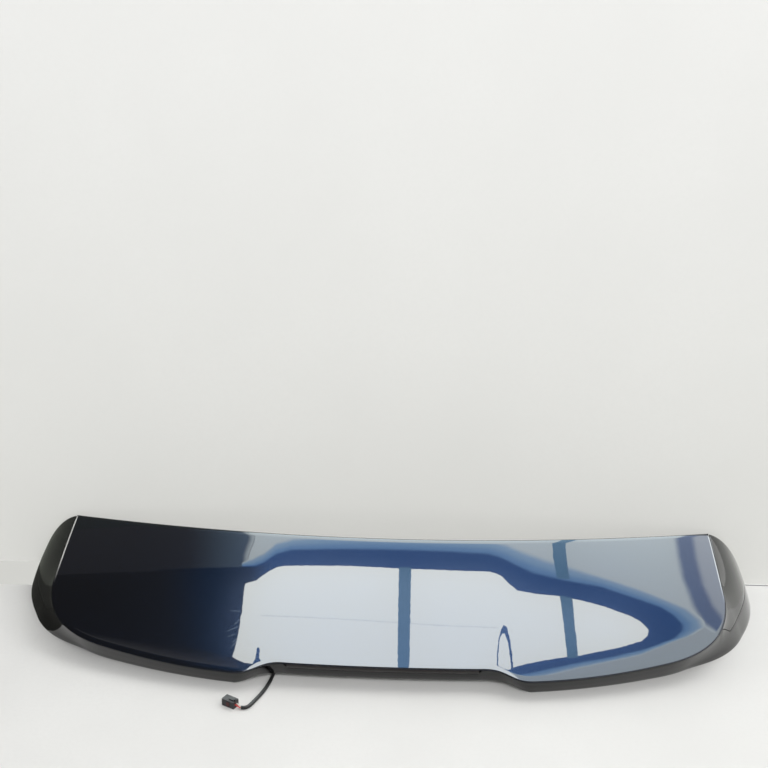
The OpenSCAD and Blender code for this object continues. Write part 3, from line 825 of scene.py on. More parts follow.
# Sub-assemblies
@dataclass
class TopSkin:
    """The painted upper moulding with its rolled rear edge and round front corners, in mm."""

    form: SpoilerForm
    paint: bpy.types.Material
    corner_r: float = 7.0
    rows: int = 34
    steps: tuple[int, ...] = (1, 54, 42, 10, 6, 10, 38)
    roll_angles: tuple[int, ...] = (0, 22, 45, 67, 90)
    roll_drop: float = 0.6
    wall_less: float = 0.15

    def build(self) -> bpy.types.Object:
        """Builds the skin and puts it in the solid's place.

        Returns:
            The finished piece.
        """
        f = self.form
        rear = f.rim(self.steps).place[1:]
        run = np.concatenate([[0], np.cumsum(np.linalg.norm(np.diff(rear, axis=0), axis=1))])
        x = f.half_w * (1 - run / run[-1])
        front = np.column_stack([x, f.front_y(x)])
        way = front - rear
        length = np.linalg.norm(way, axis=1, keepdims=True)
        way = way / length
        drop = self.roll_drop * f.roll
        cols = []
        for a in np.radians(self.roll_angles):
            p = rear + way * f.roll * (1 - math.cos(a))
            cols.append(np.column_stack([p, f.skin_z(p) - drop * (1 - math.sin(a))]))
        for t in np.linspace(0, 1, self.rows)[1:]:
            p = self.round_corner(rear + way * (f.roll + (length - f.roll) * t))
            cols.append(np.column_stack([p, f.skin_z(p)]))
        skin = loft("painted_top_skin", both_sides(np.stack(cols, axis=1)))
        if skin.data.polygons[len(skin.data.polygons) // 2].normal.z < 0:
            skin.data.flip_normals()
        wall = skin.modifiers.new("wall", "SOLIDIFY")
        wall.thickness, wall.offset = (f.skin_t - self.wall_less) * MM, -1.0
        soften(skin, 0.0008, 3, 50.0, 35.0)
        wear(skin, self.paint)
        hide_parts("top_skin")
        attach(skin, "root")
        return skin

    def round_corner(self, p: np.ndarray) -> np.ndarray:
        """Rounds the skin's front corners in the plan.

        Args:
            p: places in mm.

        Returns:
            The places with the corner rounded.
        """
        c = self.corner_r
        x0 = self.form.half_w - c
        dx = p[:, 0] - x0
        dy = p[:, 1] - (self.form.front_y(p[:, 0]) - c)
        both = (dx > 0) & (dy > 0)
        size = np.where(both, np.maximum(dx, dy) / np.maximum(np.hypot(dx, dy), 1e-9), 1.0)
        moved = np.column_stack([x0 + dx * size, self.form.front_y(p[:, 0]) - c + dy * size])
        return np.where(both[:, None], moved, p)


@dataclass(frozen=True)
class Boss:
    """A round seat or pin under the shell, with its hole and chamfer, in mm."""

    x: float
    y: float
    low: float
    high: float
    radius: float
    hole: float = 0.0
    chamfer: float = 0.5

    def build(self) -> bpy.types.Object:
        """Turns its outline about an upright axis.

        Returns:
            The new object.
        """
        line = ((self.hole, self.high), (self.hole, self.low),
                (self.radius - self.chamfer, self.low),
                (self.radius, self.low + self.chamfer), (self.radius, self.high))
        turns = np.radians(np.arange(0, 360, 7.5))
        grid = np.array([[(self.x + a * math.cos(w), self.y + a * math.sin(w), z)
                          for a, z in line] for w in turns])
        obj = loft("boss", np.concatenate([grid, grid[:1]]))
        edit_all(obj)
        bpy.ops.mesh.remove_doubles(threshold=1e-6)
        bpy.ops.mesh.normals_make_consistent(inside=False)
        bpy.ops.object.mode_set(mode="OBJECT")
        bpy.ops.object.shade_smooth_by_angle(angle=math.radians(30))
        return obj


@dataclass
class LowerShell:
    """The gloss-black lower moulding with lip, vault, seats, pins and lands.

    Sizes are in mm. Seats, pins and lands are those of the right half, apart from the
    lead's land. The shares run from 0 to 1 along the shoulder and under the vault.
    """

    form: SpoilerForm
    black: bpy.types.Material
    steps: tuple[int, ...] = (30, 54, 42, 10, 6, 14, 44)
    under_w: tuple[float, ...] = (0, .02, .04, .08, .12, .19, .26, .34, .42, .51, .6, .7, .8, .9, 1)
    down_w: tuple[float, ...] = (0.16, 0.33, 0.5, 0.67, 0.84, 1.0)
    lens_x: tuple[float, float] = (150.8, 152.6)
    blade_run: tuple[float, float] = (222.0, 234.0)
    foot_rise: float = 0.6
    even_rise: float = 0.88
    rise_power: int = 6
    front_shelf: float = 3.0
    side_gap: float = 2.0
    stud_seats: tuple[Boss, ...] = (Boss(150, -20, 42.0, 69, 15.0, 3.8),
                                    Boss(420, 20, 42.0, 61.5, 15.0, 3.8))
    pins: tuple[Boss, ...] = (Boss(285, 0, 42.0, 66.0, 8.0),
                              Boss(285, 0, 28.0, 43.0, 4.0, chamfer=1.2))
    screw_lands: Line = ((28.16, 45.58), (15.07, 28.08))
    screw_land: tuple[float, float, float] = (6.5, 2.2, 0.4)
    stop_land: Boss = Boss(330, 72, 78.78, 86.0, 9.0, 3.0, 0.4)
    lead_land: Boss = Boss(-165, -78, 33.29, 43.0, 8.5, 5.5, 0.4)

    def section(self, r: Rim) -> tuple[np.ndarray, np.ndarray]:
        """Outer and inner points of the shell for each rim point.

        Args:
            r: the rim.

        Returns:
            The outer and the inner grid, stations x points x 3.
        """
        f = self.form
        low = f.skin_z(r.place) - f.skin_t
        x = np.abs(r.place[:, 0])
        lens = (r.run > r.notch_run) * (1 - smooth_step(x, *self.lens_x))
        blade = 1 - smooth_step(r.run, *self.blade_run)
        z_top = np.minimum(f.split_z(r) - f.seam, low - f.bond_t)
        z_top = z_top + (low - f.lens_h - 2 * f.gap - z_top) * lens
        inset = f.seam * (1 - blade)
        t_top = f.share_at(r, z_top)
        top = f.in_plan(r, f.shoulder(r, t_top), inset)
        top[:, 2] = z_top
        q = f.in_plan(r, top, f.flange_w)
        q_low = f.skin_z(q) - f.skin_t - f.bond_t
        q[:, 2] = z_top + (q_low - z_top) * (1 - blade) * (1 - lens)
        outer, inner = [q, top], [f.in_plan(r, q, 0, -f.shell_t),
                                  f.in_plan(r, top, f.shell_t, -f.shell_t)]
        for u in self.down_w:
            p = f.in_plan(r, f.shoulder(r, t_top + (1 - t_top) * u), inset * max(0, 1 - 2 * u))
            outer.append(p)
            inner.append(f.in_plan(r, p, f.shell_t, f.shell_t * max(0, u - 0.5) * 2))
        q = f.in_plan(r, outer[-1], f.foot_w, self.foot_rise)
        front_x = (f.half_w - f.blade_flange - self.side_gap) * (1 - r.run / r.run[-1])
        ends = []
        for back in (f.bond_w + self.front_shelf, 0.0):
            y = f.front_y(front_x) - f.gap - back
            p = np.column_stack([front_x, y])
            ends.append(np.column_stack([p, f.skin_z(p) - f.skin_t - f.bond_t - f.shell_t]))
        for w in self.under_w:
            rise = self.even_rise * w + (1 - self.even_rise) * (1 - (1 - w) ** self.rise_power)
            p = np.column_stack([q[:, :2] + (ends[0][:, :2] - q[:, :2]) * w,
                                 q[:, 2] + (ends[0][:, 2] - q[:, 2]) * rise])
            outer.append(p)
            inner.append(f.in_plan(r, p, 0, f.shell_t))
        outer.append(ends[1])
        inner.append(f.in_plan(r, ends[1], 0, f.shell_t))
        return np.stack(outer, axis=1), np.stack(inner, axis=1)

    def build(self) -> bpy.types.Object:
        """Builds the shell with what is moulded on it, in the solid's place.

        Returns:
            The finished piece.
        """
        f = self.form
        outer, inner = self.section(f.rim(self.steps))
        loops = np.concatenate([outer, inner[:, ::-1]], axis=1)
        shell = loft("black_lower_shell", both_sides(loops), closed=True)
        soften(shell, 0.0006, 2, 40.0, 32.0)
        lands = [Boss(*place, *ends, *self.screw_land)
                 for place, ends in zip(f.screws, self.screw_lands)]
        pairs = (*self.stud_seats, *self.pins, *lands, self.stop_land)
        bosses = [replace(boss, x=side * boss.x).build() for side in (-1, 1) for boss in pairs]
        shell = join([shell, *bosses, self.lead_land.build()])
        wear(shell, self.black)
        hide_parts("lower_shell")
        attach(shell, "root")
        return shell


@dataclass
class SideBlade:
    """A gloss-black fin between the skin's side and the lip.

    Sizes are in mm. The wall that closes its front end follows the shoulder at the given
    shares and then the slope, whose points are distances outward and heights.
    """

    form: SpoilerForm
    black: bpy.types.Material
    side: int
    steps: tuple[int, ...] = (34, 70, 42, 10, 6, 14, 44)
    past_end: float = 6.5
    seam: float = 0.7
    rows: int = 22
    edge_share: float = 0.05
    edge_round: tuple[float, float] = (0.9, 0.35)
    thin: float = 2.2
    thin_least: float = 0.12
    front_shelf: float = 1.2
    post_r: float = 4.5
    post_ends: Line = ((45.6, 68.0), (28.1, 55.8))
    wall: float = 2.4
    wall_shares: tuple[float, ...] = (0.15, 0.35, 0.55, 0.75, 0.95)
    slope: Line = ((39.9, 40.05), (28.35, 53.81), (16.8, 66.81), (5.25, 79.58))

    def section(self, r: Rim, t: np.ndarray) -> np.ndarray:
        """Distance outward and height of shoulder points.

        Args:
            r: the rim.
            t: share of the way down at each rim point.

        Returns:
            One pair for each rim point.
        """
        p = self.form.shoulder(r, t)
        return np.column_stack([((p[:, :2] - r.place) * r.out).sum(axis=1), p[:, 2]])

    def inside(self, r: Rim, t: np.ndarray, wall: np.ndarray) -> np.ndarray:
        """Points one wall inside the shoulder.

        Args:
            r: the rim.
            t: share of the way down at each rim point.
            wall: wall thickness at each rim point.

        Returns:
            One pair for each rim point.
        """
        q = self.section(r, t)
        d = self.section(r, t + 0.01) - self.section(r, t - 0.01)
        d /= np.maximum(np.linalg.norm(d, axis=1, keepdims=True), 1e-9)
        cap = self.form.skin_z(r.place) - self.form.skin_t - self.form.gap - wall
        return np.column_stack([q[:, 0] + d[:, 1] * wall,
                                np.minimum(q[:, 1] - d[:, 0] * wall, cap)])

    def placed(self, r: Rim, q: np.ndarray) -> np.ndarray:
        """Puts pairs of distance and height at the rim's points."""
        return np.column_stack([r.place + r.out * q[:, :1], q[:, 1]])

    def build(self) -> bpy.types.Object:
        """Builds the blade over its solid's place.

        Returns:
            The finished piece.
        """
        f = self.form
        full = f.rim(self.steps)
        r = full.part(full.run < f.blade_end + self.past_end)
        top = f.skin_z(r.place)
        low = top - f.skin_t - f.gap
        ts = f.share_at(r, f.split_z(r))
        wall = f.blade_t * np.clip((1 - f.split_z(r) / top) * self.thin, self.thin_least, 1.0)
        first = self.section(r, ts * self.edge_share)
        first_t = np.linspace(self.edge_share, 1.0, self.rows)
        riser = np.minimum(self.seam, np.maximum(first[:, 0] / 2, 0.1))
        under, ease = self.edge_round
        over = np.column_stack([np.maximum(first[:, 0] * 0.8, riser), top])
        loops = [np.column_stack([riser, low]), np.column_stack([riser, top - under]),
                 np.minimum(np.column_stack([riser + ease, top - ease]), over)]
        loops += [self.section(r, ts * u) for u in first_t]
        loops += [self.inside(r, ts * u, wall) for u in first_t[::-1]]
        width = np.where(np.arange(len(r.run)) == 0, self.front_shelf, f.blade_flange)
        shelf = f.in_plan(r, np.column_stack([r.place, top]), width)
        shelf_z = f.skin_z(shelf) - f.skin_t - f.gap
        loops += [np.column_stack([-width, shelf_z - wall]), np.column_stack([-width, shelf_z])]
        grid = np.stack([self.placed(r, q) for q in loops], axis=1)
        grid[0, :, 1] -= f.gap
        word = "right" if self.side > 0 else "left"
        blade = loft(f"side_blade_{word}_fine", grid * np.array([self.side, 1.0, 1.0]),
                     closed=True)
        soften(blade, 0.0004, 2, 50.0, 30.0)
        blade = join([blade, self.end_wall(full.part(slice(1))), *self.posts()])
        wear(blade, self.black)
        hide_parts(f"side_blade_{word}")
        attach(blade, "root")
        return blade

    def end_wall(self, r: Rim) -> bpy.types.Object:
        """The wall that closes the blade's front end.

        Args:
            r: the rim's first point.

        Returns:
            The wall.
        """
        f = self.form
        ts = f.share_at(r, f.split_z(r))
        wall = np.array([f.blade_t])
        line = [(self.section(r, ts * t)[0] + self.inside(r, ts * t, wall)[0]) / 2
                for t in self.wall_shares]
        line += [np.array(v) for v in self.slope]
        deselect()
        bpy.ops.mesh.primitive_circle_add(vertices=len(line), radius=1.0, fill_type="NGON")
        panel = bpy.context.object
        y = r.place[0, 1] - 1 - self.wall
        for vertex, (d, z) in zip(panel.data.vertices, line):
            vertex.co = Vector((self.side * (f.half_w + d), y, z)) * MM
        mod = panel.modifiers.new("wall", "SOLIDIFY")
        mod.thickness, mod.offset = self.wall * MM, -self.side
        settle(panel)
        return panel

    def posts(self) -> list[bpy.types.Object]:
        """The posts that take the blade's screws.

        Returns:
            The posts.
        """
        made = []
        for (x, y), (low, high) in zip(self.form.screws, self.post_ends):
            deselect()
            bpy.ops.mesh.primitive_cylinder_add(
                vertices=32, radius=self.post_r * MM, depth=(high - low) * MM,
                location=(self.side * x * MM, y * MM, (high + low) / 2 * MM))
            made.append(bpy.context.object)
            settle(made[-1])
            bpy.ops.object.shade_smooth_by_angle(angle=math.radians(30))
        return made


@dataclass
class BrakeLamp:
    """The high brake lamp's lens with a rounded face.

    The face's points are shares of the lens's height and how far they stand out, in mm.
    """

    form: SpoilerForm
    lens: bpy.types.Material
    columns: int = 61
    face: Line = ((0, 0), (.04, .35), (.15, .6), (.35, .75), (.5, .8), (.65, .75), (.85, .6),
                  (.96, .35), (1, 0))
    back: tuple[float, ...] = (1, .5, 0)

    def build(self) -> bpy.types.Object:
        """Builds the lens in its solid's place.

        Returns:
            The finished piece.
        """
        f = self.form
        x = np.linspace(-f.lens_half, f.lens_half, self.columns)
        edge = np.column_stack([x, f.notch_y(x)])
        out = np.column_stack([2 * f.notch_bow * x / f.notch_corner[0] ** 2, -np.ones_like(x)])
        out /= np.linalg.norm(out, axis=1, keepdims=True)
        top = f.skin_z(edge)
        high = top - f.skin_t - f.gap
        points = []
        for u, bulge in (*self.face, *((u, -f.lens_t) for u in self.back)):
            z = high - f.lens_h * u
            d = -f.tuck_notch * (top - z) / (top - f.notch_lift) - f.seam + bulge
            points.append(np.column_stack([edge + out * d[:, None], z]))
        piece = loft("brake_lamp_lens", np.stack(points, axis=1), closed=True)
        soften(piece, 0.0, 1, 40.0, 40.0)
        wear(piece, self.lens)
        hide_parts("lamp_lens")
        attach(piece, "root")
        return piece


@dataclass
class LampLead:
    """The lead's free part: sleeve, two wires and the connector on the floor."""

    sleeve_mat: bpy.types.Material
    wires: dict[str, bpy.types.Material]
    sleeve_d: float = 0.0058
    route: tuple[Point, ...] = (
        (-165, -78, 46), (-165, -78, 28), (-165, -79, 21), (-165.5, -82, 14.5),
        (-166, -88, 8.5), (-167, -97, 4.5), (-168, -108, 3.1), (-170, -122, 3),
        (-172, -138, 3), (-174, -154, 3), (-177, -169, 3), (-181, -184, 3),
        (-186.5, -199, 3), (-192.5, -213, 3), (-197, -223, 3), (-200, -228, 3),
        (-205, -231.5, 3), (-211, -232, 3))
    with_nodes: tuple[str, ...] = ("loom_wire_red", "loom_wire_white", "connector_body",
                                   "connector_lock", "connector_pins")

    def build(self) -> bpy.types.Object:
        """Returns:
            The sleeve.
        """
        deselect()
        curve = bpy.data.curves.new("loom_sleeve_tube", "CURVE")
        curve.dimensions = "3D"
        curve.bevel_depth = self.sleeve_d / 2
        curve.bevel_resolution = 4
        curve.use_fill_caps = True
        line = curve.splines.new("BEZIER")
        line.bezier_points.add(len(self.route) - 1)
        for point, place in zip(line.bezier_points, self.route):
            point.co = Vector(place) * MM
            point.handle_left_type = point.handle_right_type = "AUTO"
        sleeve = bpy.data.objects.new("loom_sleeve_tube", curve)
        bpy.context.scene.collection.objects.link(sleeve)
        wear(sleeve, self.sleeve_mat)
        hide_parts("loom_sleeve")
        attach(sleeve, "root")
        for node, mat in self.wires.items():
            wear(bpy.data.objects[node], mat)
        return sleeve


# Studio
class Sheen(Enum):
    """How bright each part of the room is that the gloss reflects."""

    BLACK = (0.02, 0.06, 0.14)
    DARK = (0.09, 0.08, 0.06)
    DIM = (0.16, 0.15, 0.14)
    DUSK = (0.38, 0.52, 0.62)
    MIST = (0.46, 0.44, 0.42)
    FAR = (1.5, 1.5, 1.45)
    BAR = (0.6, 1.3, 1.9)
    CURVE = (0.9, 1.15, 1.75)
    NIGHT = (0.09, 0.38, 1.2)
    SKY = (0.95, 1.85, 3.2)
    HAZE = (1.8, 2.75, 3.75)
    SOFT = (3.0, 3.2, 3.35)
    LOW = (3.2, 3.5, 3.4)
    SEAM = (6.6, 6.9, 6.6)
    PALE = (4.1, 4.5, 4.4)
    WINDOW = (8.7, 8.9, 8.25)


@dataclass(frozen=True)
class Band:
    """A strip of the reflected room between two lines, with the sheens across it."""

    name: str
    level: float
    start: Line
    end: Line
    stops: tuple[tuple[float, Sheen], ...]


@dataclass
class RoomReflection:
    """Flat shapes high in front of the part that only its gloss can see.

    They lie on one sloping plane, given by its tilt in degrees, its reach and the height
    that the reach starts from. A shape's points are in mm across and up that plane, and
    later shapes lie one step nearer to the part. A band changes softly between its lines.
    """

    tilt: float = 51.0
    reach: float = 3000.0
    low: float = 90.0
    step: float = 6.0
    band_n: int = 6
    shapes: tuple[tuple[Sheen, Line], ...] = (
        (Sheen.DARK, ((-6000, -5000), (6000, -5000), (6000, 4500), (-6000, 4500))),
        (Sheen.DIM, ((-2600, -5000), (-600, -5000), (-700, 240), (-1095, 275), (-2600, 230))),
        (Sheen.FAR, ((-560, -5000), (6000, -5000), (6000, 4500), (1750, 4500), (1750, -1500),
                     (-560, -1500))),
        (Sheen.PALE, ((-672, -1600), (1400, -1600), (1400, 700), (-560, 700), (-560, 250),
                      (-722, 245), (-716, 120), (-688, -60))),
        (Sheen.SOFT, ((1296, -1600), (1800, -1600), (1800, 900), (1470, 900), (1470, 480),
                      (1440, 370), (1378, 190), (1326, -117), (1296, -379))),
        (Sheen.LOW, ((300, 745), (1360, 690), (1470, 620), (1800, 640), (2300, 3000),
                     (300, 3000))),
        (Sheen.WINDOW, ((-735, 430), (-680, 395), (-635, 320), (-585, 250), (-550, 235),
                        (-245, 230), (-15, 245), (215, 245), (400, 235), (450, 270), (490, 355),
                        (530, 425), (615, 445), (735, 455), (830, 480), (945, 525), (1075, 605),
                        (1130, 660), (1165, 730), (1165, 795), (1140, 855), (1035, 950),
                        (865, 1060), (725, 1125), (610, 1190), (555, 1235), (490, 1305),
                        (480, 2600), (-678, 2600), (-682, 1289), (-711, 1291), (-758, 1274),
                        (-789, 1251), (-819, 1211), (-790, 1045), (-755, 725))),
        (Sheen.SEAM, ((-666, 769), (-341, 795), (-103, 815), (183, 834), (458, 827), (459, 836),
                      (183, 843), (-103, 824), (-341, 804), (-666, 778))),
        (Sheen.BAR, ((-20, 230), (36, 230), (56, 2600), (-4, 2600))),
        (Sheen.BAR, ((725, 440), (784, 460), (813, 757), (850, 1082), (798, 1100), (765, 798))),
        (Sheen.NIGHT, ((474, 1400), (460, 1100), (461, 960), (468, 850), (478, 796), (494, 810),
                       (520, 960), (547, 1260), (552, 1400), (544, 1400), (533, 1200), (509, 985),
                       (494, 905), (486, 882), (477, 885), (470, 920), (466, 980), (466, 1110),
                       (482, 1400))),
        (Sheen.NIGHT, ((-725, 1300), (-704, 1225), (-690, 1105), (-678, 1100), (-676, 1140),
                       (-684, 1215), (-668, 1262), (-660, 1300))),
    )
    halo_out: Line = (
        (-745, 200), (-700, 150), (-640, 75), (-585, -40), (-500, -95), (-250, -140), (-20, -150),
        (210, -150), (395, -140), (465, -110), (535, -45), (650, 35), (815, 130), (911, 190),
        (1104, 295), (1220, 375), (1337, 450), (1413, 555), (1434, 631), (1375, 738),
        (1282, 844), (1154, 999), (1015, 1100), (874, 1190), (700, 1315), (590, 1375),
        (480, 1440))
    halo_in: Line = (
        (-745, 245), (-685, 250), (-645, 220), (-585, 125), (-520, 80), (-250, 70), (-20, 65),
        (210, 65), (385, 65), (445, 105), (505, 170), (585, 250), (730, 300), (915, 335),
        (1112, 445), (1199, 488), (1261, 562), (1307, 652), (1305, 719), (1280, 797),
        (1202, 890), (1149, 939), (1011, 1042), (870, 1122), (660, 1255), (515, 1345),
        (440, 1400))
    frame: Line = ((-590, 132), *halo_in[3:], (300, 1700), (-590, 1700))
    frame_level: float = 5.8
    curve_left: Line = ((1170, -1200), (1214, -358), (1233, -126), (1262, 104), (1334, 430),
                        (1404, 616), (1480, 690))
    curve_middle: Line = ((1225, -1200), (1273, -368.5), (1295.5, -121.5), (1335, 147),
                          (1402, 412.5), (1456, 543), (1505, 629))
    curve_right: Line = ((1280, -1200), (1332, -379), (1358, -117), (1408, 190), (1470, 395),
                         (1508, 470), (1530, 568))
    bands: tuple[Band, ...] = (
        Band("frame_left", 5.75, ((-1150, 250), (-1150, 1700)), ((-725, 246), (-725, 1700)),
             ((0.0, Sheen.DARK), (0.7, Sheen.BLACK))),
        Band("frame_turn", 5.76, ((-725, 246), (-725, 1700)), ((-590, 132), (-590, 1700)),
             ((0.0, Sheen.BLACK), (1.0, Sheen.NIGHT))),
        Band("halo", 5.85, halo_in, halo_out,
             ((0.0, Sheen.NIGHT), (0.06, Sheen.NIGHT), (0.25, Sheen.SKY), (0.66, Sheen.HAZE),
              (1.0, Sheen.PALE))),
        Band("mist", 5.78,
             ((-1585, 870), (-1471, 918), (-1325, 985), (-1177, 1045), (-982, 1124), (-798, 1235)),
             ((-1625, 905), (-1515, 1035), (-1355, 1130), (-1190, 1235), (-994, 1345),
              (-795, 1440)),
             ((0.0, Sheen.DARK), (1.0, Sheen.MIST))),
        Band("side", 5.2, ((-1000, -1600), (-1010, -185), (-1020, 180), (-1030, 265)),
             ((-672, -1600), (-688, -60), (-716, 120), (-722, 245)),
             ((0.0, Sheen.DIM), (0.9, Sheen.DUSK), (1.0, Sheen.LOW))),
        Band("curve_left", 5.7, curve_middle, curve_left,
             ((0.0, Sheen.CURVE), (0.35, Sheen.CURVE), (1.0, Sheen.PALE))),
        Band("curve_right", 5.7, curve_middle, curve_right,
             ((0.0, Sheen.CURVE), (0.4, Sheen.CURVE), (1.0, Sheen.SOFT))),
        Band("bar", 8.5, ((658, -1600), (664, -215), (682, 55), (706, 260)),
             ((722, -1600), (726, -215), (742, 45), (763, 255)), ((0.0, Sheen.BAR),)))

    def build(self) -> None:
        """Builds the shapes and the bands, which give light to glossy rays only."""
        glow = {sheen: self.blend(sheen.name.lower(), ((0.0, sheen),)) for sheen in Sheen}
        for level, (sheen, points) in enumerate(self.shapes):
            self.card(f"{level:02d}_{sheen.name.lower()}", level, points, glow[sheen])
        self.card("frame", self.frame_level, self.frame, glow[Sheen.NIGHT])
        for band in self.bands:
            self.strip(band)
        LOG.info("room reflection: %d shapes, %d bands", len(self.shapes), len(self.bands))

    def place(self, point: tuple[float, float], level: float) -> Vector:
        """Place in the room of a point of the plane.

        Args:
            point: across and up the plane, in mm.
            level: how many steps nearer to the part.

        Returns:
            The place in metres.
        """
        a = math.radians(self.tilt)
        out = Vector((0, math.cos(a), math.sin(a)))
        up = Vector((0, -math.sin(a), math.cos(a)))
        middle = Vector((0, 0, self.low)) + out * (self.reach - self.step * level)
        return (middle + Vector((1, 0, 0)) * point[0] + up * point[1]) * MM

    def card(self, name: str, level: float, points: Line,
             material: bpy.types.Material) -> None:
        """Builds a flat shape.

        Args:
            name: its name.
            level: how many steps nearer to the part.
            points: its outline.
            material: its light.
        """
        deselect()
        bpy.ops.mesh.primitive_circle_add(vertices=len(points), radius=1.0, fill_type="NGON")
        shape = bpy.context.object
        for vertex, point in zip(shape.data.vertices, points):
            vertex.co = self.place(point, level)
        self.hang(shape, name, material)

    def strip(self, band: Band) -> None:
        """Builds a band's strip.

        Args:
            band: the band, with as many points in both its lines.
        """
        deselect()
        n = self.band_n
        bpy.ops.mesh.primitive_grid_add(x_subdivisions=n, y_subdivisions=len(band.start) - 1)
        strip = bpy.context.object
        shift = strip.data.attributes.new("shift", "FLOAT", "POINT")
        for i, vertex in enumerate(strip.data.vertices):
            row, t = i // (n + 1), (i % (n + 1)) / n
            a, b = band.start[row], band.end[row]
            point = (a[0] + (b[0] - a[0]) * t, a[1] + (b[1] - a[1]) * t)
            vertex.co = self.place(point, band.level)
            shift.data[i].value = t
        self.hang(strip, band.name, self.blend(f"band_{band.name}", band.stops))

    def hang(self, card: bpy.types.Object, name: str, material: bpy.types.Material) -> None:
        """Hides a shape from all but glossy rays.

        Args:
            card: the shape.
            name: its name.
            material: its light.
        """
        card.name = f"reflection_{name}"
        wear(card, material)
        hide(card, "camera", "diffuse", "shadow", "transmission", "volume_scatter")

    def blend(self, name: str, stops: tuple[tuple[float, Sheen], ...]) -> bpy.types.Material:
        """A light that changes across a band, or an even one.

        Args:
            name: its name.
            stops: places across the band, 0 to 1, and the sheen at each.

        Returns:
            The material.
        """
        d = Desk(f"room_{name}")
        d.tree.nodes.remove(d.shader)
        shift = d.add("ShaderNodeAttribute", attribute_name="shift").outputs["Fac"]
        colour = stops[0][1].value
        for (low, _), (high, sheen) in zip(stops, stops[1:]):
            colour = d.mix(d.ramp(shift, low, high, way="SMOOTHSTEP"), colour, sheen.value)
        return d.show(d.glow(colour))


@dataclass(frozen=True)
class Strip:
    """A thin glowing rectangle on the floor, hidden from one kind of ray, in metres."""

    glow: EvenGlow
    place: Point
    size: tuple[float, float]
    hidden_from: str

    def build(self) -> None:
        """Adds the strip."""
        strip = plane(self.glow.name, self.place, self.size, self.glow.make())
        hide(strip, self.hidden_from, "diffuse", "shadow")


@dataclass(frozen=True)
class Lamp:
    """A round soft lamp: its place and size in metres and its power in watts."""

    name: str
    place: Point
    size: float
    power: float

    def build(self) -> None:
        """Adds the lamp, turned towards the part."""
        data = bpy.data.lights.new(self.name, "AREA")
        data.shape, data.size, data.energy = "DISK", self.size, self.power
        lamp = bpy.data.objects.new(self.name, data)
        lamp.location = self.place
        lamp.rotation_mode = "QUATERNION"
        lamp.rotation_quaternion = Vector(self.place).to_track_quat("Z", "Y")
        hide(lamp, "glossy")
        bpy.context.scene.collection.objects.link(lamp)


@dataclass
class Studio:
    """Pale floor, pale wall, soft lamps, what the gloss sees, and the camera."""

    floor: bpy.types.Material
    wall: bpy.types.Material
    room: float = 12.0
    wall_y: float = 0.19
    eye: Point = (0.0549, -1.9313, 1.2233)
    azimuth: float = 1.9
    elevation: float = 22.0
    roll: float = 0.8
    lens: float = 63.28
    sensor: float = 36.0
    shade: EvenGlow = EvenGlow("wall_shade", (1.0, 1.05, 0.9), 0.13, (0.02, 0.02, 0.018))
    feet: tuple[tuple[str, float, float, float], ...] = (
        ("wall_foot_right", -0.1, 1.6, 0.122), ("wall_foot_left", -1.6, -0.1, 0.16))
    strips: tuple[Strip, ...] = (
        Strip(EvenGlow("floor_shade", (0.05, 0.05, 0.045)), (-1.06, -0.14, 0.0004), (1.0, 0.66),
              "camera"),
        Strip(EvenGlow("wall_base", (0.64, 0.64, 0.61)), (-3.3, 0.1495, 0.0006), (5.4, 0.081),
              "glossy"),
        Strip(EvenGlow("wall_joint", (0.16, 0.16, 0.16)), (1.4, 0.1845, 0.0006), (1.56, 0.0026),
              "glossy"))
    lamps: tuple[Lamp, ...] = (Lamp("key", (1.6, 0.9, 2.8), 1.8, 51.0),
                               Lamp("fill", (0.4, -2.6, 2.6), 2.4, 63.0))
    dark_side: Colour = (0.10, 0.10, 0.105)
    light_side: Colour = (0.85, 0.86, 0.86)
    side_range: tuple[float, float] = (-0.5, 0.6)

    def build(self) -> None:
        """Builds the whole studio."""
        self.camera()
        self.surfaces()
        for strip in self.strips:
            strip.build()
        RoomReflection().build()
        for lamp in self.lamps:
            lamp.build()
        self.world()
        LOG.info("studio done")

    def camera(self) -> None:
        """Places the camera at the photograph's viewing angle."""
        a, e, r = (math.radians(v) for v in (self.azimuth, self.elevation, self.roll))
        back = Vector((math.sin(a) * math.cos(e), -math.cos(a) * math.cos(e), math.sin(e)))
        right = (-back).cross(Vector((0, 0, 1))).normalized()
        up = right.cross(-back)
        x = right * math.cos(r) + up * math.sin(r)
        y = up * math.cos(r) - right * math.sin(r)
        data = bpy.data.cameras.new("camera")
        data.lens, data.sensor_width = self.lens, self.sensor
        cam = bpy.data.objects.new("camera", data)
        cam.matrix_world = (Matrix.Translation(Vector(self.eye))
                            @ Matrix((x, y, back)).transposed().to_4x4())
        bpy.context.scene.collection.objects.link(cam)
        bpy.context.scene.camera = cam

    def surfaces(self) -> None:
        """Adds the floor, the wall behind the part and the wall's two reflected feet."""
        size = (self.room, self.room)
        floor = plane("studio_floor", (0, 0, 0), size, self.floor)
        wall = plane("studio_wall", (0, self.wall_y, self.room / 2), size, self.wall, True)
        hide(wall, "glossy", "shadow")
        for (name, low, high, top), finish in zip(self.feet, (self.wall, self.shade.make())):
            foot = plane(name, ((low + high) / 2, self.wall_y, top / 2), (high - low, top),
                         finish, True)
            hide(foot, "camera", "diffuse", "shadow")

    def world(self) -> None:
        """Lights the room evenly, darker on the left, and sets the view."""
        world = bpy.data.worlds.new("studio_world")
        bpy.context.scene.world = world
        d = Desk(world.name, world)
        across = d.xyz(d.add("ShaderNodeTexCoord").outputs["Generated"])["X"]
        d.set(Color=d.mix(d.ramp(across, *self.side_range), self.dark_side, self.light_side),
              Strength=1.0)
        bpy.context.scene.view_settings.view_transform = "Standard"


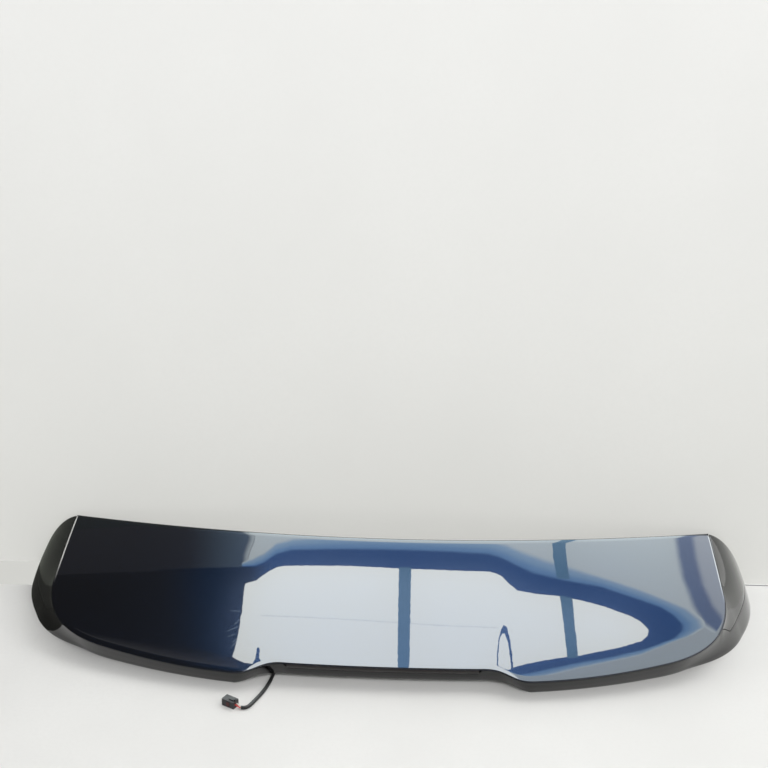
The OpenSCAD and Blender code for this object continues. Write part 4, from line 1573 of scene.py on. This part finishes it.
# Making
def dress_small_parts() -> None:
    """Puts the finishes on the small solids that keep their shape."""
    rubber = Moulded("seal_rubber", (0.016, 0.016, 0.017), 0.6).make()
    cable = Moulded("cable_black", (0.018, 0.018, 0.019), 0.45, 900.0).make()
    zinc = BareMetal("zinc_plate", (0.62, 0.63, 0.65)).make()
    looks = {
        "front_seal": rubber, "bump_stops": rubber,
        "adhesive_bead": Moulded("adhesive_grey", (0.10, 0.10, 0.11), 0.5).make(),
        "lamp_housing": Moulded("lamp_case", (0.04, 0.04, 0.042), 0.5).make(),
        "lamp_board": Moulded("board_green", (0.02, 0.11, 0.05), 0.35).make(),
        "lamp_leds": Moulded("diode_cream", (0.62, 0.58, 0.46), 0.3).make(),
        "lamp_clips": BareMetal("spring_steel", (0.5, 0.5, 0.52), 0.25).make(),
        "lamp_lead": cable, "cable_grommet": rubber,
        "fixing_studs": zinc, "blade_screws": zinc,
        "stud_seals": Moulded("foam_black", (0.03, 0.03, 0.032), 0.9, 1200.0, 0.0004).make(),
        "connector_body": Moulded("connector_black", (0.022, 0.022, 0.024), 0.4).make(),
        "connector_lock": Moulded("lock_red", (0.06, 0.012, 0.012), 0.4).make(),
        "connector_pins": BareMetal("tinned_brass", (0.6, 0.5, 0.32)).make(),
    }
    for node, material in looks.items():
        wear(bpy.data.objects[node], material)
        LOG.info("dressed %s", node)


def main() -> None:
    """Builds the spoiler's pieces and the studio in order."""
    logging.basicConfig(level=logging.INFO, format="%(message)s")
    form = SpoilerForm()
    Studio(StudioSurface("pale_floor", (0.77, 0.765, 0.75), (0.73, 0.725, 0.71)).make(),
           StudioSurface("pale_wall", (0.84, 0.84, 0.82), (0.79, 0.79, 0.77),
                         glow=0.55).make()).build()
    cable = Moulded("sleeve_black", (0.009, 0.009, 0.010), 0.42, 1500.0, 0.0001).make()
    red = Moulded("wire_red", (0.45, 0.03, 0.03), 0.4).make()
    pale = Moulded("wire_white", (0.72, 0.68, 0.58), 0.4, light=1.1).make()
    LampLead(cable, {"loom_wire_red": red, "loom_wire_white": pale}).build()
    LOG.info("lead done")
    black = GlossBlack().make()
    blade_black = GlossBlack("blade_black", (0.011, 0.012, 0.012), 0.09, 0.12).make()
    TopSkin(form, BluePaint().make()).build()
    LowerShell(form, black).build()
    for side in (-1, 1):
        SideBlade(form, blade_black, side).build()
    BrakeLamp(form, SmokedLens().make()).build()
    LOG.info("shells done")
    dress_small_parts()


if __name__ == "__main__":
    main()
